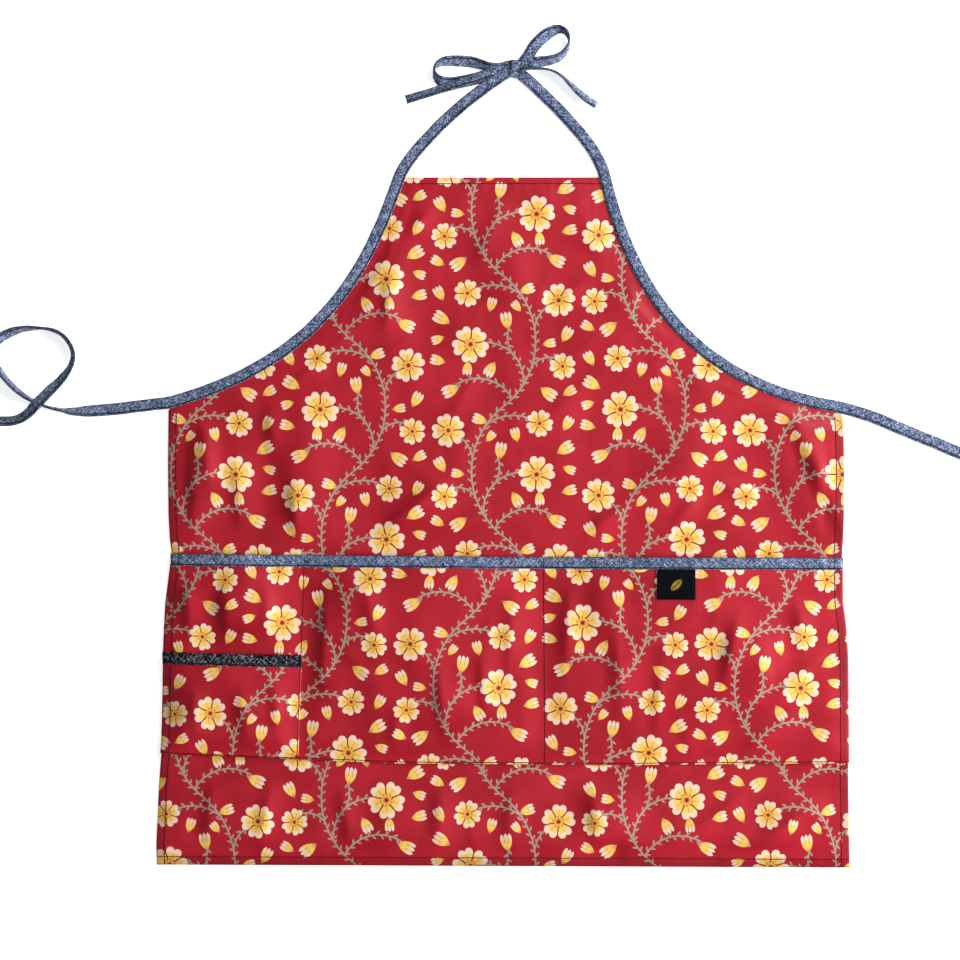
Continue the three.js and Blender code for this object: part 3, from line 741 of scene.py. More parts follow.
def ripple(x, y, seed):
    """Low unrest all over the cloth, at three sizes."""
    level = RIPPLE_LEVEL
    for across, along, shift, height in RIPPLES:
        level += height * noise.noise(Vector((x / across, y / along, seed + shift)))
    return level


# %% Height of the body's front face
FLAT_EDGE, EDGE_FADE = 16.0, 54.0
PUCKER, PUCKER_LENGTH = 0.45, 7.0  # height and length of the short waves along a sewn hem
PUCKER_MIDDLE, PUCKER_HALF = 10.0, 9.0  # where they run, from the edge
# folds fade out over these heights from the panel's mouth and its bottom seam, and over this width at an edge
MOUTH_FADE, SEAM_FADE, SEWN_FADE = (-8.0, 40.0), (-40.0, -8.0), (2.0, 30.0)
# the pocket panel's mouth and bottom seam, from left to right
MOUTH = [(-350, -147), (0, -150), (350, -151.5)]
BOTTOM_SEAM = [(-350, -346), (-213, -351.5), (-103, -356), (117, -357.5), (350, -355.5)]


def mouth_y(x):
    return between(MOUTH, x)


def seam_y(x):
    return between(BOTTOM_SEAM, x)


def pucker(x, y, edge):
    """Cloth draws up in short waves along a sewn hem."""
    along = y if side_half(y) - abs(x) < edge + 0.01 else x
    wave = noise.noise(Vector((along / PUCKER_LENGTH, 60.5, 0)))
    return PUCKER * (0.5 + wave) * bell((edge - PUCKER_MIDDLE) / PUCKER_HALF)


def body_top(x, y):
    hem = min(side_half(y) - abs(x), y - HEM_LINE, BIB_TOP - y)
    edge = min(hem, armhole_distance(x, y))
    sewn = min(hem, armhole_distance(x, y) - TAPE_WIDTH)  # the cloth in the tape lies flat
    free = soft_step(edge, FLAT_EDGE, EDGE_FADE / 2)
    above = soft_step(y - mouth_y(x), *MOUTH_FADE)
    below = 1 - soft_step(y - seam_y(x), *SEAM_FADE)
    folds = creased(FOLDS, x, y, bell) * free * max(above, below)
    shown = max(above, below) * soft_step(sewn, *SEWN_FADE)
    small = (creased(BODY_CREASES, x, y) + ripple(x, y, 0)) * shown
    off_tape = soft_step(armhole_distance(x, y) - TAPE_WIDTH, 0, CORNER_FADE)
    lifted = ridge(CORNER_LIFT, x, y, bell) * off_tape * above
    seat = SEAT * (1 - soft_step(edge, FLAT_EDGE, EDGE_FADE))
    return CLOTH + seat + folds + small + lifted + pucker(x, y, sewn)


print(f"{len(FOLDS)} folds, {len(BODY_CREASES + PANEL_CREASES + SMALL_CREASES)} creases")

# %% [markdown]
# ## The body
#
# The body is one sheet. A grid is shaped to the outline, row by row. Its side, bottom and bib edges are
# then extruded outwards, round and back under, as a hem is turned at the sewing machine, with mitred
# corners. The armhole edges stay raw, because the tape covers them. A Solidify modifier gives the cloth its
# thickness behind the printed face, and paints the back with the pale finish.

# %% Sheets and turned edges
CLOTH_WALL = 0.9


def new_object(name, bm, *materials):
    mesh = bpy.data.meshes.new(name)
    bm.to_mesh(mesh)
    bm.free()
    mesh.shade_smooth()
    for material in materials:
        mesh.materials.append(material)
    piece = bpy.data.objects.new(name, mesh)
    bpy.context.scene.collection.objects.link(piece)
    return piece


def hem_shade_share(x, y):
    """1 in the doubled cloth of a side or bottom hem, where shade is painted darker, and 0 inside it."""
    edge = min(side_half(y) - abs(x), y - HEM_LINE)
    return 1 - soft_step(edge, SIDE_HEM - 3.5, SIDE_HEM)


def cloth_grid(columns, rows, place, print_shift=(0.0, 0.0)):
    """A grid with its points at place(column, row). Their places on the cloth are kept for the print."""
    bm = bmesh.new()
    bmesh.ops.create_grid(bm, x_segments=columns, y_segments=rows, size=0.5)
    cloth_at = bm.verts.layers.float_vector.new("cloth_at")
    for vert in bm.verts:
        column, row = round((vert.co.x + 0.5) * columns), round((vert.co.y + 0.5) * rows)
        x, y, z = place(column, row)
        # the third value is the share of painted shade along the hems
        vert[cloth_at] = (x + print_shift[0], y + print_shift[1], hem_shade_share(x, y))
        vert.co = Vector((x, y, z)) * MM
    return bm


def turn_edge(bm, edges, outward, steps):
    """Extrude a chain of edges through steps of (out, down), each measured from the chain's own place."""
    cloth_at = bm.verts.layers.float_vector["cloth_at"]
    start = {vert: (vert.co.copy(), vert[cloth_at].copy()) for edge in edges for vert in edge.verts}
    travelled, last = 0.0, (0.0, 0.0)
    for step in steps:
        travelled += math.dist(step, last)
        last = step
        made = bmesh.ops.extrude_edge_only(bm, edges=edges)["geom"]
        fresh = {item for item in made if isinstance(item, bmesh.types.BMVert)}
        origin = {}
        for vert in fresh:
            old = next(edge.other_vert(vert) for edge in vert.link_edges if edge.other_vert(vert) in start)
            place, cloth = origin[vert] = start[old]
            way = outward(place / MM)
            vert.co = place + Vector((way[0] * step[0], way[1] * step[0], -step[1])) * MM
            vert[cloth_at] = cloth + Vector((way[0] * travelled, way[1] * travelled, 0.0))
        start = origin
        edges = [edge for edge in bm.edges if edge.verts[0] in fresh and edge.verts[1] in fresh]
    bmesh.ops.recalc_face_normals(bm, faces=bm.faces)


def hem_steps(width, drop):
    """Round the fold in a half circle and back under, flat."""
    radius = drop / 2
    turns = [math.pi * share / 5 for share in range(1, 6)]
    fold = [(radius * math.sin(turn), radius * (1 - math.cos(turn))) for turn in turns]
    return fold + [(-width * share / 3, drop) for share in (1, 2, 3)]


def face_up(bm):
    """The sheet's printed side is its upper one."""
    highest = max(bm.faces, key=lambda face: face.calc_center_median().z)
    if highest.normal.z < 0:
        bmesh.ops.reverse_faces(bm, faces=bm.faces)


def rim_edges(bm, test):
    """Edges of the sheet's rim whose two ends pass the test, which is given a place in millimetres."""
    return [e for e in bm.edges if e.is_boundary and all(test(v.co / MM) for v in e.verts)]


def walled(name, bm, thickness, *materials):
    face_up(bm)
    piece = new_object(name, bm, *materials)
    wall = piece.modifiers.new("wall", "SOLIDIFY")
    wall.thickness = thickness * MM
    wall.offset = -1.0
    wall.material_offset = 1
    wall.material_offset_rim = 1
    return piece


def printed_sheet(name, bm):
    return walled(name, bm, CLOTH_WALL, printed_cloth, reverse_cloth)


# %% Body sheet
BODY_COLUMNS, BODY_ROWS = 196, 196
# rows stand closer where the armhole runs out flat to the side
BODY_ROW_PLACES = [(0.0, -458), (0.60, -20), (0.70, 30), (1.0, 229)]
FOLD_RADIUS = (CLOTH + SEAT) / 2
EDGE_BAND = 3.0  # a rim point this close to the outline is on it
DRAWN_IN = 6.0  # the side columns are drawn in for the fold over this width


def body_place():
    edges = {}
    for row in range(BODY_ROWS + 1):
        y = between(BODY_ROW_PLACES, row / BODY_ROWS)
        edges[row] = (y, body_edge(-1, y), body_edge(1, y))

    def place(column, row):
        y, left, right = edges[row]
        x = lerp(left, right, column / BODY_COLUMNS)
        x -= math.copysign(FOLD_RADIUS, x) * soft_step(abs(x), side_half(y) - DRAWN_IN, side_half(y))
        y = clamp(y, HEM_LINE + FOLD_RADIUS, BIB_TOP - FOLD_RADIUS)
        return x, y, body_top(x, y)

    return place


def body_outward(place):
    """The way out over a side or the bottom: both at a corner, and (0, 0) at the bib and the armholes."""
    side = math.copysign(1, place.x) if abs(place.x) > side_half(place.y) - EDGE_BAND else 0
    end = -1 if place.y < HEM_LINE + EDGE_BAND else 0
    return side, end


def off_armhole(place, distance):
    return armhole_distance(place.x, place.y) > distance


def body_sheet():
    bm = cloth_grid(BODY_COLUMNS, BODY_ROWS, body_place())
    bib = rim_edges(bm, lambda p: p.y > BIB_TOP - EDGE_BAND and off_armhole(p, TAPE_WIDTH - 2))
    skirt = rim_edges(bm, lambda p: body_outward(p) != (0, 0) and off_armhole(p, TAPE_WIDTH + 1))
    turn_edge(bm, skirt, body_outward, hem_steps(SIDE_HEM, 2 * FOLD_RADIUS))
    turn_edge(bm, bib, lambda place: (0, 1), hem_steps(TOP_HEM, 2 * FOLD_RADIUS))
    return printed_sheet("body_cloth", bm)


body_cloth = body_sheet()
print(f"body: {len(body_cloth.data.polygons)} faces")

# %% [markdown]
# ## Pockets
#
# The pocket panel is a second sheet over the skirt. It is sewn down at both sides, along its bottom edge and
# along two lines, and stands off the body between them, so that each pocket is open. Its bottom edge is
# turned under, its side edges wrap round the body's, and its mouth goes into a folded binding. The small
# pocket is made the same way on top of the panel's left end.

# %% Heights of the pockets
DIVISIONS = [(-206, -198.5), (41.5, 40)]  # places of the sewn lines at the bottom seam and at the mouth
SIDE_INSET, TURN_UNDER = 1.0, 9.0
BINDING_FLAT, BINDING_FADE = TAPE_WIDTH + 3, 45.0
BELOW_BINDING = (BINDING_FLAT - 2, 40.0)  # the creases fade in over this drop below a mouth
POCKETS = [(6.5, 0.54), (6.5, 0.0), (7.0, 0.0)]  # height at the mouth, and the share that lies flat
SMALL_MOUTH = (-245.0, -248.5)
SMALL_VAULT = 4.0
SEWN_REACH = 24.0  # cloth is pulled down this far on each side of a sewn line


def swell(share):
    return (1 - (1 - share) ** 2.5) * soft_step(share, 0, 0.3)


def pocket_lines(y, share):
    side = side_half(y) - SIDE_INSET
    return [-side] + [lerp(low, high, share) for low, high in DIVISIONS] + [side]


def pocket_seat(from_seam, from_mouth):
    turned = SEAT * (1 - soft_step(from_seam, TURN_UNDER + 1, 4 * TURN_UNDER))
    bound = SEAT * (1 - soft_step(from_mouth, BINDING_FLAT, BINDING_FADE))
    return max(turned, bound)


def panel_top(x, y):
    low, high = seam_y(x), mouth_y(x) - EDGE_IN_TAPE
    share = clamp((y - low) / (high - low))
    lines = pocket_lines(y, share)
    index = max(sum(x >= line for line in lines[:-1]) - 1, 0)
    vault, flat = POCKETS[index]
    across = clamp((x - lines[index]) / (lines[index + 1] - lines[index]))
    rise = vault * math.sin(math.pi * across) ** 1.5 * swell(clamp((share - flat) / (1 - flat)))
    level = body_top(x, y) + GAP + CLOTH + pocket_seat(y - seam_y(x), mouth_y(x) - y)
    sewn = min(abs(x - line) for line in lines)
    loose = soft_step(min(sewn, y - low), 1, SEWN_REACH) * soft_step(mouth_y(x) - y, *BELOW_BINDING)
    small = (creased(PANEL_CREASES, x, y) + ripple(x, y, 20)) * loose
    swells = creased(PANEL_SWELLS, x, y, bell) * soft_step(min(sewn, y - low), 1, 2 * SEWN_REACH)
    return level + rise + small + swells


def small_right(share):
    """The small pocket ends at the first division, here at a share of the way up to the panel's mouth."""
    return lerp(*DIVISIONS[0], share)


SMALL_EDGE = small_right(0.3)  # the small pocket's right edge, taken as upright
SMALL_TURN = 0.8  # the turned edge lifts the cloth there


def small_mouth_y(x):
    half = side_half(SMALL_MOUTH[0])
    return lerp(*SMALL_MOUTH, clamp((x + half) / (half + small_right(0.5))))


def small_top(x, y):
    low, high = seam_y(x), small_mouth_y(x) - EDGE_IN_TAPE
    left = SIDE_INSET - side_half(y)
    across = clamp((x - left) / (SMALL_EDGE - left))
    share = clamp((y - low) / (high - low))
    rise = SMALL_VAULT * math.sin(math.pi * across) ** 1.5 * swell(share)
    edge = SMALL_TURN * (1 - soft_step(SMALL_EDGE - x, TURN_UNDER, 4 * TURN_UNDER))
    loose = soft_step(min(x - left, SMALL_EDGE - x, y - low), 1, SEWN_REACH)
    loose *= soft_step(small_mouth_y(x) - y, *BELOW_BINDING)
    small = (creased(SMALL_CREASES, x, y) + ripple(x, y, 40)) * loose
    seat = max(pocket_seat(y - seam_y(x), small_mouth_y(x) - y), edge)
    return panel_top(x, y) + GAP + CLOTH + seat + rise + small


# %% Pocket sheets
PANEL_CELLS, PANEL_ROWS = (40, 73, 91), 60  # columns of each pocket, and rows
PANEL_SPAN = (-352.0, -152.0)  # heights of the panel's lower and upper edge
SMALL_COLUMNS, SMALL_ROWS = 42, 32
SMALL_SPAN = (-346.0, -247.0)
SMALL_SHARE = 0.52  # the small pocket reaches this share of the way up to the panel's mouth
PANEL_PRINT, SMALL_PRINT = (38.0, -47.0), (-61.0, 22.0)  # the pockets are cut elsewhere from the same cloth
# the panel's side edge goes round the edge of the body
SIDE_WRAP = [(0.9, 0.3), (1.6, 1.1), (1.7, 2.3)]
POCKET_FOLD = 1.9  # height of a pocket's turned edge
INNER_TURN = hem_steps(TURN_UNDER - 1, POCKET_FOLD)
LOW_BAND, SIDE_BAND = 1.5, 2.0  # a rim point this close to a sewn edge is on it


def panel_place(column, row):
    share = row / PANEL_ROWS
    lines = pocket_lines(lerp(*PANEL_SPAN, share), share)
    for count, start, end in zip(PANEL_CELLS, lines, lines[1:]):
        if column <= count:
            x = lerp(start, end, column / count)
            break
        column -= count
    y = lerp(seam_y(x), mouth_y(x) - EDGE_IN_TAPE, share)
    return x, y, panel_top(x, y)


def small_place(column, row):
    share = row / SMALL_ROWS
    left = SIDE_INSET - side_half(lerp(*SMALL_SPAN, share))
    x = lerp(left, small_right(SMALL_SHARE * share), column / SMALL_COLUMNS)
    y = lerp(seam_y(x) + SIDE_INSET, small_mouth_y(x) - EDGE_IN_TAPE, share)
    return x, y, small_top(x, y)


def inner_edge(y):
    """Where the small pocket's right edge is at one height."""
    low, high = SMALL_SPAN
    return small_right(SMALL_SHARE * (y - low) / (high - low))


def pocket_grid(columns, rows, place, shift):
    """A pocket's sheet with its bottom edge turned under and its sides wrapped round the body's."""
    bm = cloth_grid(columns, rows, place, shift)
    low = rim_edges(bm, lambda p: p.y < seam_y(p.x) + LOW_BAND)
    left = rim_edges(bm, lambda p: p.x < SIDE_BAND - side_half(p.y))
    right = rim_edges(bm, lambda p: p.x > side_half(p.y) - SIDE_BAND)
    inner = rim_edges(bm, lambda p: place is small_place and p.x > inner_edge(p.y) - SIDE_BAND)
    turn_edge(bm, low, lambda p: (0, -1), hem_steps(TURN_UNDER, POCKET_FOLD))
    for edges, way, steps in ((left, -1, SIDE_WRAP), (right, 1, SIDE_WRAP), (inner, 1, INNER_TURN)):
        if edges:
            turn_edge(bm, edges, lambda p, way=way: (way, 0), steps)
    return bm


pocket_cloth = printed_sheet(
    "pocket_panel_cloth", pocket_grid(sum(PANEL_CELLS), PANEL_ROWS, panel_place, PANEL_PRINT))
small_cloth = printed_sheet(
    "small_pocket_cloth", pocket_grid(SMALL_COLUMNS, SMALL_ROWS, small_place, SMALL_PRINT))
print(f"pockets: {len(pocket_cloth.data.polygons)} and {len(small_cloth.data.polygons)} faces")

# %% [markdown]
# ## Folded tape
#
# Bias tape is a strip folded along its middle. Its section is a flat U: two leaves, a round fold on one
# edge, and a stitched valley near the open edge. The same section is drawn along every route. A curve with
# a bevel object would draw it too, but here the tape also rolls on its edge, opens to take in the cloth
# and is squeezed by the knot, so a grid is laid along the route and closed round the section.

# %% Section of the tape
# from the open edge over the upper leaf to the fold: place across the width, and share of half the depth
UPPER_LEAF = [
    (11.95, 0.72), (11.6, 0.95), (10.9, 0.98), (10.1, 0.85), (9.3, 0.98), (7.2, 1.04), (4.4, 1.05),
    (1.8, 0.98), (0.75, 0.84), (0.2, 0.5), (0.0, 0.0),
]
SLIT_SHUT, SLIT_OPEN = 0.12, 1.3  # between the leaves, where they lie together and where they hold cloth
SLIT_TIP, SLIT_ROOT, SLIT_MOUTH = 0.95, 1.1, 11.8  # the slit ends in a tip near the fold


def tape_half(grip):
    """Half the tape's depth: the leaves lie together, or they are opened by the cloth between them."""
    return lerp(1.0, LEAF + SLIT_OPEN / 2, grip)


def tape_section(grip, squeeze):
    """Points of (width from the middle, depth) round the section, from the slit's end and back to it."""
    slit = lerp(SLIT_SHUT, SLIT_OPEN, grip) / 2 * squeeze
    half = tape_half(grip) * squeeze
    inner = [(SLIT_ROOT, slit * 0.8), (lerp(SLIT_ROOT, SLIT_MOUTH, 0.5), slit), (SLIT_MOUTH, slit)]
    outer = [(w, max(n * half, slit)) for w, n in UPPER_LEAF[:-1]] + [UPPER_LEAF[-1]]
    upper = inner + outer
    lower = [(w, -n) for w, n in reversed(upper[:-1])]
    tip = [(SLIT_TIP, 0.0)]
    return [(w - TAPE_WIDTH / 2, n) for w, n in tip + upper + lower + tip]


SECTION_POINTS = len(tape_section(0, 1)) - 1


def tape_mesh(name, stations, material):
    """stations are dicts of centre, wide, deep, grip and squeeze along the tape."""
    bm = bmesh.new()
    bmesh.ops.create_grid(bm, x_segments=len(stations) - 1, y_segments=SECTION_POINTS, size=0.5)
    tape_at = bm.verts.layers.float_vector.new("tape_at")
    sections = [tape_section(s.get("grip", 0), s.get("squeeze", 1)) for s in stations]
    along = [0.0]
    for first, second in zip(stations, stations[1:]):
        along.append(along[-1] + (second["centre"] - first["centre"]).length)
    half_way = SECTION_POINTS / 2
    for vert in bm.verts:
        k = round((vert.co.x + 0.5) * (len(stations) - 1))
        i = round((vert.co.y + 0.5) * SECTION_POINTS)
        station, (w, n) = stations[k], sections[k][i]
        across = w if i <= half_way else -TAPE_WIDTH - w
        # the third value places the painted shade of the seam and the edges
        shift = SEAM_SHIFT * station.get("grip", 0) * soft_step(w, 0, 3)
        vert[tape_at] = (along[k], across, w - shift)
        vert.co = (station["centre"] + station["wide"] * w + station["deep"] * n) * MM
    bmesh.ops.remove_doubles(bm, verts=bm.verts, dist=1e-6)
    bmesh.ops.holes_fill(bm, edges=[e for e in bm.edges if e.is_boundary], sides=0)
    bmesh.ops.recalc_face_normals(bm, faces=bm.faces)
    piece = new_object(name, bm, material)
    piece["length_mm"] = along[-1]
    return piece


# %% Routes
ROUTE_STEP = 3.0
SWAY, SWAY_LENGTH = 0.28, 16.0  # no tape lies dead straight
UP = Vector((0, 0, 1))


def route_stations(route, open_side, seed):
    """Stations along rows of (x, y, roll, lift, grip, squeeze), on one smooth line through all of them."""
    rows = [tuple(row) + (0.0, 1.0)[len(row) - 4:] for row in route]
    points = [Vector(row[:2]) for row in rows]
    count = len(points)
    ways = [(points[min(i + 1, count - 1)] - points[max(i - 1, 0)]).normalized() for i in range(count)]
    stations = []
    for i in range(count - 1):
        reach = (points[i + 1] - points[i]).length
        pieces = max(round(reach / ROUTE_STEP), 1)
        handles = (points[i] + ways[i] * reach / 3, points[i + 1] - ways[i + 1] * reach / 3)
        line = geometry.interpolate_bezier(points[i], *handles, points[i + 1], pieces + 1)
        last = 1 if i == count - 2 else 0
        for k in range(pieces + last):
            share = soft_step(k / pieces, 0, 1)
            row = [lerp(a, b, share) for a, b in zip(rows[i], rows[i + 1])]
            stations.append({"plan": line[k], "row": row})
    walked = 0.0
    for k, station in enumerate(stations):
        before, after = stations[max(k - 1, 0)]["plan"], stations[min(k + 1, len(stations) - 1)]["plan"]
        run = (after - before).normalized()
        walked += (station["plan"] - before).length
        _, _, roll, lift, grip, squeeze = station["row"]
        across = Vector((run.y, -run.x, 0)) * open_side
        turn = math.radians(roll)
        sway = SWAY * noise.noise(Vector((walked / SWAY_LENGTH, seed, 0)))
        height = lift + abs(math.sin(turn)) * TAPE_WIDTH / 2 + abs(math.cos(turn)) * tape_half(grip) * squeeze
        station.update(
            centre=Vector((*station["plan"], height)) + across * sway,
            wide=across * math.cos(turn) + UP * math.sin(turn),
            deep=UP * math.cos(turn) - across * math.sin(turn),
            grip=grip, squeeze=squeeze,
        )
    return stations


def armhole_rows(side, steps=18):
    return [(*armhole_point(side, 1 - i / steps, TAPE_WIDTH / 2), 0, 0, 1.0, 1.0) for i in range(steps + 1)]


# %% Left and right tape: waist tie, armhole and neck strap in one length
# rows of x, y, roll and lift, then how far the leaves are open (1 at the cloth) and the share of their depth
# that the knot leaves them
WAIST_TIE_LEFT = [
    (-521, -15.5, 30, 0), (-503, -15, 38, 0), (-488, -14, 38, 2), (-475, -8.5, 32, 9), (-464.5, 2, 22, 13.5),
    (-453, 14, 25, 10), (-441, 27, 42, 3), (-432, 40.5, 58, 0), (-430, 53, 66, 0), (-435, 65, 70, 0),
    (-445, 74, 76, 0), (-461, 78, 86, 0), (-478, 77.5, 70, 0), (-492, 73.5, 52, 0), (-504, 67, 48, 0),
    (-510.5, 57, 58, 0), (-508.5, 45, 66, 0), (-500, 32, 70, 0), (-489, 19.5, 72, 0), (-478, 10.5, 74, 0),
    (-466, 4, 80, 0), (-455, -0.5, 84, 0), (-442, -3.5, 78, 0), (-428, -5, 50, 0), (-412, -4.5, 18, 0),
    (-394, -3, 4, 0), (-370, -0.5, 0, 0), (-350, 2, 0, 0, 0.4, 1.0),
]
WAIST_TIE_RIGHT = [
    (477, -55, 0, 0), (457, -47, 0, 0), (427, -34.5, 0, 0), (397, -22, 0, 0), (370, -11, 0, 0),
    (352, -5, 0, 0, 0.4, 1.0),
]
NECK_LEFT = [
    (-98.5, 240, 0, 0, 0.4, 1.0), (-87, 255.5, 0, 0), (-72, 272, 0, 0), (-55.5, 288.5, 0, 1.5),
    (-37, 304, 0, 5.5), (-19, 317.5, 0, 7.8), (-5, 327.5, 0, 7.0, 0, 0.8), (3.5, 333, 0, 6.4, 0, 0.55),
    (9, 336, 0, 6.0, 0, 0.5),
]
NECK_RIGHT = [
    (98.5, 239, 0, 0, 0.4, 1.0), (90, 255, 0, 0), (78, 271.5, 0, 0), (64, 287.5, 0, 0), (49, 303, 0, 0),
    (34, 317.5, 0, 0), (24, 326.5, 0, 0.8, 0, 0.75), (16, 333.5, 0, 2.0, 0, 0.5),
]
routes = {
    "tape_left": route_stations(WAIST_TIE_LEFT + armhole_rows(-1) + NECK_LEFT, 1, 1.5),
    "tape_right": route_stations(WAIST_TIE_RIGHT + armhole_rows(1) + NECK_RIGHT, -1, 4.5),
}
tapes = {name: tape_mesh(f"{name}_strip", stations, chambray) for name, stations in routes.items()}
for name, piece in tapes.items():
    print(f"{name}: {piece['length_mm']:.0f} mm long, {len(piece.data.polygons)} faces")

# %% [markdown]
# ## The bow
#
# The bow is tied in the same tape. Each loop starts flat at the knot, rolls on to its edge at the far turn
# and comes back on its other face, which is why the turn looks so thin from above. The knot itself is one
# more wrap of tape round all of them, a little more than a full turn, so that its end shows as a ridge.

# %% Loops and tails
BOW_ROUTES = {
    "bow_loop_left": (1, [
        (10, 337.5, 10, 2.0, 0, 0.5), (2, 337.6, 35, 1.0, 0, 0.6), (-8, 337.9, 56, 0.2, 0, 0.9),
        (-15, 339, 58, 0), (-22.5, 341.2, 46, 0), (-32.5, 343.8, 32, 0), (-46, 344.8, 34, 0),
        (-57.5, 344.2, 48, 0), (-65, 341.6, 68, 0), (-69.4, 336.2, 88, 0), (-68.4, 330, 112, 0),
        (-63.5, 325, 140, 0), (-55.5, 322.9, 166, 0), (-45, 323.9, 178, 0), (-30, 327, 180, 1.2),
        (-16, 331, 180, 2.2, 0, 0.9), (2, 336.2, 180, 2.6, 0, 0.6), (10, 337.5, 180, 3.2, 0, 0.5),
    ]),
    "bow_tail_left": (-1, [
        (10, 340, 0, 4.4, 0, 0.5), (2.5, 338.4, 4, 4.6, 0, 0.6), (-6, 335, 10, 4.8, 0, 0.9),
        (-18, 330.8, 22, 4.2), (-32, 326, 30, 3.6), (-46, 321.6, 36, 3.2), (-58, 318, 40, 2.6),
        (-68, 315, 42, 1.2), (-82, 310.8, 42, 0), (-97.5, 306.4, 40, 0),
    ]),
    "bow_loop_right": (-1, [
        (15, 338.5, 0, 5.6, 0, 0.5), (20.5, 343.6, 0, 7.0, 0, 0.7), (25.2, 350.4, 0, 8.4, 0, 0.95),
        (29.8, 358, 0, 8.6), (39, 367.6, 8, 7.6), (48.6, 374, 40, 4.4), (56.2, 376, 58, 2.6),
        (62.4, 373, 72, 1.4), (65.3, 366, 88, 0.6), (64.6, 359.6, 100, 0), (61, 353.2, 114, 0),
        (55, 348.2, 124, 0.4), (46, 345, 132, 1.4), (35, 343.2, 142, 3.0), (24, 341.8, 165, 4.4, 0, 0.8),
        (14, 339.8, 180, 4.4, 0, 0.5),
    ]),
    "bow_tail_right": (1, [
        (14, 334.6, 60, 2.2, 0, 0.5), (20, 335.9, 78, 0.6, 0, 0.8), (31, 337, 80, 0), (43, 336.6, 80, 0),
        (51.5, 334, 78, 0), (59.5, 328.6, 74, 0), (67.3, 321.4, 64, 0), (75, 313.9, 54, 0),
        (84, 306.4, 50, 0), (92.8, 300.4, 50, 0),
    ]),
}
for index, (name, (open_side, rows)) in enumerate(BOW_ROUTES.items()):
    routes[name] = route_stations(rows, open_side, 7.5 + index)
    tapes[name] = tape_mesh(f"{name}_strip", routes[name], chambray)
    print(f"{name}: {tapes[name]['length_mm']:.0f} mm long")

# %% Knot
KNOT_CENTRE = Vector((12.5, 336.6, 5.1))
KNOT_HALF = (8.0, 4.2)  # half length and half height of the wrap's middle line
KNOT_TURNS = (-150, 265)  # the wrap's first and last angle, in degrees
KNOT_LEAN = math.radians(-12)
KNOT_STEPS = 56
KNOT_SQUARE = 0.75  # under 1, the wrap's section is squarer than an ellipse
KNOT_OVERLAP, KNOT_OVERLAP_SPAN = 1.15, (0.72, 0.95)  # the wrap's last stretch lies on its first
KNOT_SLIDE = (-1.2, 1.4)  # along the knot, from the first to the last station
KNOT_SQUEEZE, KNOT_TWIST = 0.55, 0.1  # share of the tape's depth that is left, and lean of the wrap


def knot_stations():
    stations = []
    axis = Vector((math.cos(KNOT_LEAN), math.sin(KNOT_LEAN), 0))
    level = Vector((-axis.y, axis.x, 0))
    for k in range(KNOT_STEPS + 1):
        share = k / KNOT_STEPS
        turn = math.radians(lerp(*KNOT_TURNS, share))
        grow = KNOT_OVERLAP * soft_step(share, *KNOT_OVERLAP_SPAN)
        c, s = math.cos(turn), math.sin(turn)
        flat = [math.copysign(abs(v) ** KNOT_SQUARE, v) for v in (c, s)]
        out = (level * (c / KNOT_HALF[0]) + UP * (s / KNOT_HALF[1])).normalized()
        centre = KNOT_CENTRE + level * flat[0] * (KNOT_HALF[0] + grow) + UP * flat[1] * (KNOT_HALF[1] + grow)
        centre += axis * lerp(*KNOT_SLIDE, share)
        wrap = (axis + level * KNOT_TWIST * (share - 0.5)).normalized()
        stations.append({"centre": centre, "wide": wrap, "deep": out, "squeeze": KNOT_SQUEEZE})
    return stations


tapes["bow_knot"] = tape_mesh("bow_knot_wrap", knot_stations(), chambray)
print(f"knot: {tapes['bow_knot']['length_mm']:.0f} mm of tape in the wrap")

# %% [markdown]
# ## Bindings and label
#
# A binding is the same folded tape, laid over a pocket's mouth with its open edge down. The label is a
# narrow woven ribbon folded in half: the fold hangs down, and both ends go under the binding.


# %% Bindings on the pocket mouths
MOUTH_SWAY, MOUTH_SWAY_LENGTH = 0.25, 14.0
BINDING_OVER, SMALL_OVER = 0.5, 0.8  # a binding's ends stand this far past its pocket


def binding_stations(left, right, mouth, top):
    stations = []
    count = round((right - left) / ROUTE_STEP)
    for k in range(count + 1):
        x = lerp(left, right, k / count)
        sway = MOUTH_SWAY * noise.noise(Vector((x / MOUTH_SWAY_LENGTH, 2.5, 0)))
        y = mouth(x) + sway - TAPE_WIDTH / 2
        centre = Vector((x, y, top(x, y) - CLOTH_WALL / 2))
        down = Vector((0, -1, 0))
        stations.append({"centre": centre, "wide": down, "deep": UP, "grip": 1.0, "squeeze": 1.0})
    return stations


mouth_half = side_half(mouth_y(0)) + BINDING_OVER
small_ends = (-side_half(SMALL_SPAN[1]) - SMALL_OVER, small_right(SMALL_SHARE) + SMALL_OVER)
routes["pocket_binding"] = binding_stations(-mouth_half, mouth_half, mouth_y, panel_top)
routes["small_pocket_binding"] = binding_stations(*small_ends, small_mouth_y, small_top)
for name, weave in (("pocket_binding", chambray), ("small_pocket_binding", dark_denim)):
    tapes[name] = tape_mesh(f"{name}_strip", routes[name], weave)
print(f"bindings: {tapes['pocket_binding']['length_mm']:.0f} and "
      f"{tapes['small_pocket_binding']['length_mm']:.0f} mm")

# %% Label
LABEL_LEFT, LABEL_RIGHT, LABEL_HEIGHT = 153.0, 191.0, 30.0
LABEL_COLUMNS, LABEL_ROWS = 24, 50
LABEL_WALL = 0.4
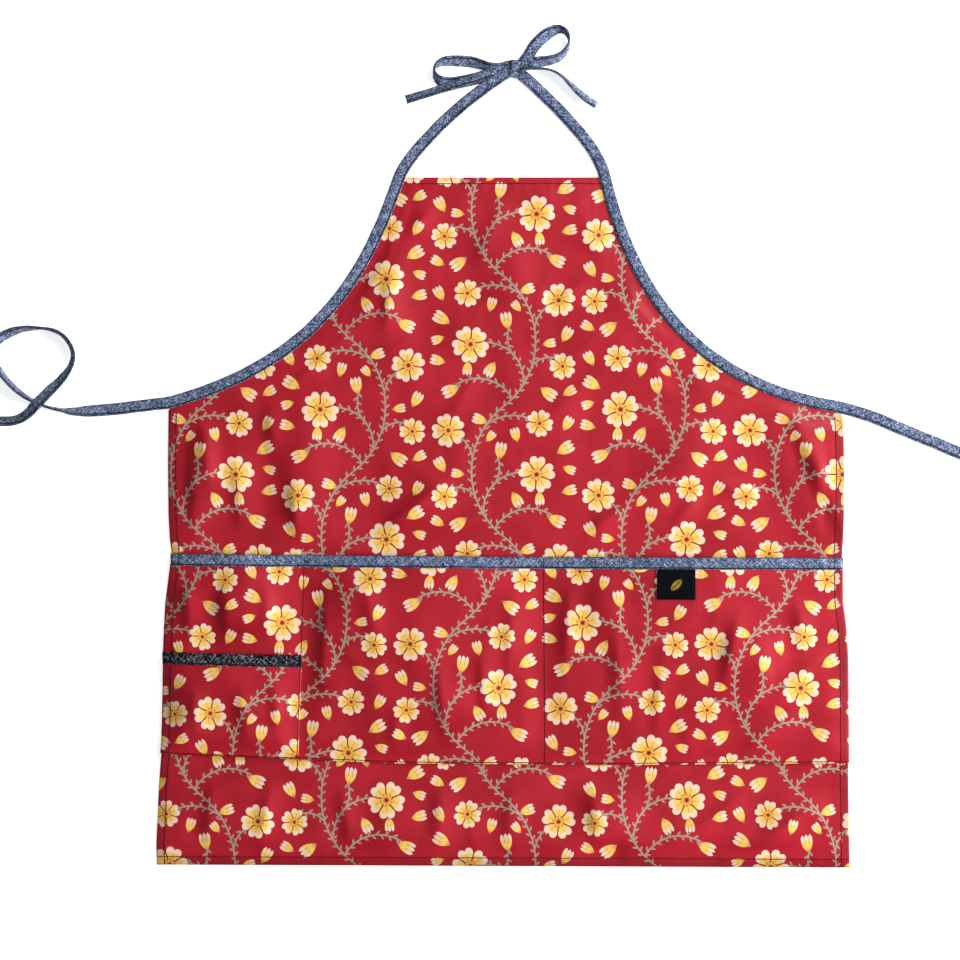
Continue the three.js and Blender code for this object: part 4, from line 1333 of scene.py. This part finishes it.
# from the back's upper end, round the fold and up the front: the drop below the binding, and the lift off
# the panel
LABEL_DROP = [(0.0, 1.5), (0.46, 29.6), (0.5, 30.2), (0.54, 29.6), (1.0, 0.0)]
LABEL_LIFT = [(0.0, 0.3), (0.46, 0.3), (0.5, 0.8), (0.54, 1.25), (1.0, 1.25)]
LABEL_CURL, LABEL_TUCK = 0.5, 0.2  # the fold curls up, and the ends go under the binding


def label_place(column, row):
    share = row / LABEL_ROWS
    drop = between(LABEL_DROP, share)
    x = lerp(LABEL_LEFT, LABEL_RIGHT, column / LABEL_COLUMNS)
    y = mouth_y(LABEL_LEFT) - TAPE_WIDTH + LABEL_TUCK - drop
    return x, y, panel_top(x, y) + between(LABEL_LIFT, share) + LABEL_CURL * (drop / LABEL_HEIGHT) ** 2


label_grid = cloth_grid(LABEL_COLUMNS, LABEL_ROWS, label_place)
label_piece = walled("label_tab", label_grid, LABEL_WALL, label_weave, label_weave)
print(f"label: {len(label_piece.data.polygons)} faces")

# %% [markdown]
# ## Stitches
#
# Red thread shows on the seams of the red cloth, dark thread on the tapes and bindings. One stitch is a small
# flattened bead of twenty faces, set down along each seam's line with its back on the cloth. A row of them
# reads as a sewn line from above and keeps its relief when seen close up from the side.

# %% Sewing
STITCH_PITCH, STITCH_LENGTH = 3.0, 3.7
STITCH_WIDTH, STITCH_DEPTH = 1.2, 0.65
STITCH_LIFT = 0.05  # a stitch's middle stands this far off the cloth
STITCH_FACES = 20
STITCH_SIZE = Matrix.Diagonal((STITCH_LENGTH * MM / 2, STITCH_WIDTH * MM / 2, STITCH_DEPTH * MM / 2, 1))


def stitch_row(bm, line):
    """Set stitches along a line of (place, normal) pairs, in millimetres."""
    carried = STITCH_PITCH / 2
    for (start, normal), (end, _) in zip(line, line[1:]):
        run = end - start
        length = run.length
        if length < 1e-6:
            continue
        way = run / length
        aside = normal.cross(way).normalized()
        while carried < length:
            place = Matrix.Translation((start + way * carried) * MM)
            turn = Matrix((way, aside, way.cross(aside))).transposed().to_4x4()
            bmesh.ops.create_icosphere(bm, subdivisions=1, radius=1.0, matrix=place @ turn @ STITCH_SIZE)
            carried += STITCH_PITCH
        carried -= length


def sew(name, lines, thread):
    """All rows as one piece. Each is made on its own first, because a small mesh is quicker to add to."""
    whole = bmesh.new()
    for line in lines:
        bm = bmesh.new()
        stitch_row(bm, line)
        row = bpy.data.meshes.new("row")
        bm.to_mesh(row)
        bm.free()
        whole.from_mesh(row)
        bpy.data.meshes.remove(row)
    piece = new_object(name, whole, thread)
    print(f"{name}: {len(piece.data.polygons) // STITCH_FACES} stitches")
    return piece


# %% Seams on the cloth
SMALL_LIMIT = small_right(0.55) + 1  # the small pocket lies left of this
LEAF_RISE = LEAF + 0.2  # a binding's front leaf stands this far off the cloth


def on_binding(x, y):
    mouths = [mouth_y(x)]
    if x < SMALL_LIMIT:
        mouths.append(small_mouth_y(x))
    return any(mouth - TAPE_WIDTH < y <= mouth for mouth in mouths)


def front_top(x, y):
    """The height of the uppermost layer of cloth or binding at a place."""
    if not seam_y(x) < y <= mouth_y(x):
        return body_top(x, y)
    leaf = LEAF_RISE if on_binding(x, y) else 0.0
    if x < SMALL_LIMIT and y <= small_mouth_y(x):
        return small_top(x, min(y, small_mouth_y(x) - TAPE_WIDTH / 2)) + leaf
    return panel_top(x, min(y, mouth_y(x) - TAPE_WIDTH / 2)) + leaf


cloth_seams, binding_seams = [], []


def seam(places):
    """A sewn line, in red thread on the cloth and in dark thread where it crosses a binding."""
    for bound, run in itertools.groupby(places, lambda place: on_binding(*place)):
        line = [(Vector((x, y, front_top(x, y) + STITCH_LIFT)), UP) for x, y in run]
        (binding_seams if bound else cloth_seams).append(line)


def steps(start, end, pitch=2.0):
    count = max(round(abs(end - start) / pitch), 1)
    return [lerp(start, end, k / count) for k in range(count + 1)]


SEAM_UP = 1.0  # the panel's seam is this far above its turned edge
SIDE_SEWN = 8.2  # the side hems are sewn this far in
FROM_EDGE = 0.6  # other seams run, or stop, this far from an edge
seam([(-side_half(y) + SIDE_SEWN, y) for y in steps(HEM_LINE + 1, -5)])
seam([(side_half(y) - SIDE_SEWN, y) for y in steps(HEM_LINE + 1, -10)])
seam([(x, HEM_LINE + BOTTOM_HEM - FROM_EDGE) for x in steps(-345, 345)])
seam([(x, BIB_TOP - TOP_HEM + FROM_EDGE) for x in steps(-98, 96)])
seam([(x, seam_y(x) + SEAM_UP) for x in steps(-343, 343)])
for at_seam, at_mouth in DIVISIONS:
    low, high = seam_y(at_seam) + SEAM_UP, mouth_y(at_mouth) - FROM_EDGE
    seam([(lerp(at_seam, at_mouth, (y - low) / (high - low)), y) for y in steps(low, high)])
# a bar of close stitches holds the inner end of the dark binding
for inset in (0.4, 1.4, 2.4):
    x = small_right(SMALL_SHARE) - inset
    low, high = small_mouth_y(x) - TAPE_WIDTH + 1, small_mouth_y(x) - 1
    seam([(x, y) for y in steps(low, high)])
cloth_stitches = sew("cloth_stitches", cloth_seams, red_thread)

# %% Seams on the tape
# the stitched valley's floor as a share of half the depth, and how far a stitch stands off it
VALLEY, VALLEY_LIFT = 0.9, 0.06
UNSQUEEZED = 0.95  # where the knot leaves a tape a smaller share of its depth, the seam is hidden
tape_seams = []
for name, stations in routes.items():
    for face in (1, -1):
        line = []
        for station in stations:
            if station["squeeze"] < UNSQUEEZED:
                continue
            depth = face * (VALLEY * tape_half(station["grip"]) + VALLEY_LIFT)
            across = SEAM_AT + SEAM_SHIFT * station["grip"]
            place = station["centre"] + station["wide"] * across + station["deep"] * depth
            line.append((place, station["deep"] * face))
        (binding_seams if "binding" in name else tape_seams).append(line)
tape_stitches = sew("tape_stitches", tape_seams, dark_thread)
binding_stitches = sew("binding_stitches", binding_seams, dark_thread)

# %% [markdown]
# ## How the apron lies
#
# The apron is cut evenly, but it was laid by hand: its sides lie a few millimetres off, and the hem hangs
# lower on the right. Cloth, bindings and their stitches are all moved by the same small drift.

# %% Drift
# height, and how far the left and the right side lie to the right of the even cut
DRIFT = [
    (-458, -0.5, 0.4), (-438, -1.5, 0.2), (-378, 0.0, 0.4), (-333, 2.5, 1.4), (-258, 2.5, 2.2),
    (-220, 1.5, 2.5), (-195, 1.2, 0.8), (-168, 3.0, 2.2), (-153, 4.0, 3.2), (-134, 1.5, 4.5),
    (-108, 0.0, 5.0), (-58, -0.5, 5.0), (-8, 0.0, 4.0), (8, 0.0, 0.0),
]
LEFT_DRIFT = [(y, left) for y, left, _ in DRIFT]
RIGHT_DRIFT = [(y, right) for y, _, right in DRIFT]
DRIFT_REACH = 140.0  # the drift runs out this far from each side
HEM_DROP = 3.0
DROP_FROM, DROP_TO = 375.0, 455.0  # below the waist


def lay(piece):
    for vert in piece.data.vertices:
        x, y, z = vert.co / MM
        half = side_half(y)
        drift = between(LEFT_DRIFT, y) * (1 - soft_step(x + half, 0, DRIFT_REACH))
        drift += between(RIGHT_DRIFT, y) * (1 - soft_step(half - x, 0, DRIFT_REACH))
        drop = HEM_DROP * clamp((x / half + 1) / 2) * soft_step(-y, DROP_FROM, DROP_TO)
        vert.co = Vector((x + drift, y - drop, z)) * MM


for piece in (body_cloth, pocket_cloth, small_cloth, label_piece, tapes["pocket_binding"],
              tapes["small_pocket_binding"], cloth_stitches, binding_stitches):
    lay(piece)
print(f"sides moved by up to {max(max(row[1:]) for row in DRIFT):.0f} mm")

# %% [markdown]
# ## Floor
#
# A large pale plane catches the soft shadows. It glows a little, as a light table does, so that the shadows
# stay faint. It is a stage, not part of the apron.

# %% Floor
FLOOR_HALF = 6.0
FLOOR_DROP = 0.4  # in millimetres, so that it is clear of the cloth's lower side
FLOOR_GLOW = 0.66
PAPER = [(0.0, ink(246, 247, 249)), (1.0, ink(252, 252, 253))]

bm = bmesh.new()
bmesh.ops.create_grid(bm, x_segments=1, y_segments=1, size=FLOOR_HALF)
for vert in bm.verts:
    vert.co.z = -FLOOR_DROP * MM
floor_finish, shader, sketch = new_material("floor", 0.9)
paper = sketch.ramp(sketch.noise(sketch.object_place(), 40.0), PAPER)
sketch.put(shader.inputs["Base Color"], paper)
shader.inputs["Emission Color"].default_value = (1.0, 1.0, 1.0, 1.0)
shader.inputs["Emission Strength"].default_value = FLOOR_GLOW
floor = new_object("floor", bm, floor_finish)
print("floor laid")

# %% [markdown]
# ## What each piece is
#
# The last cells hide the CAD solid that each piece stands for.
# The apron has no joints, so every piece rides on its one body.

# %% Ride and replace
CLOTH_PIECES = [
    (body_cloth, "body", "printed_cloth", (0.718, 0.705), 0.410, ["floor"]),
    (pocket_cloth, "pocket_panel", "printed_cloth", (0.690, 0.216), None, ["body_cloth"]),
    (small_cloth, "small_pocket", "printed_cloth", (0.152, 0.112), None, ["pocket_panel_cloth"]),
    (label_piece, "label", "label", (0.038, 0.059), None, ["pocket_panel_cloth"]),
]
for piece, node, slot, flat, area, under in CLOTH_PIECES:
    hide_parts(node)
    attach(piece, "root")

FLAT_TAPE_WIDTH = 2 * TAPE_WIDTH * MM
for node, piece in tapes.items():
    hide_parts(node)
    "dark_denim" if node == "small_pocket_binding" else "chambray"
    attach(piece, "root")
    flat = (FLAT_TAPE_WIDTH, piece["length_mm"] * MM)

STITCHES = [(cloth_stitches, "printed_cloth"), (binding_stitches, "chambray"), (tape_stitches, "chambray")]
for piece, slot in STITCHES:
    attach(piece, "root")
print(f"{len(CLOTH_PIECES) + len(tapes)} cloth pieces and three sets of stitches ride on the root body")
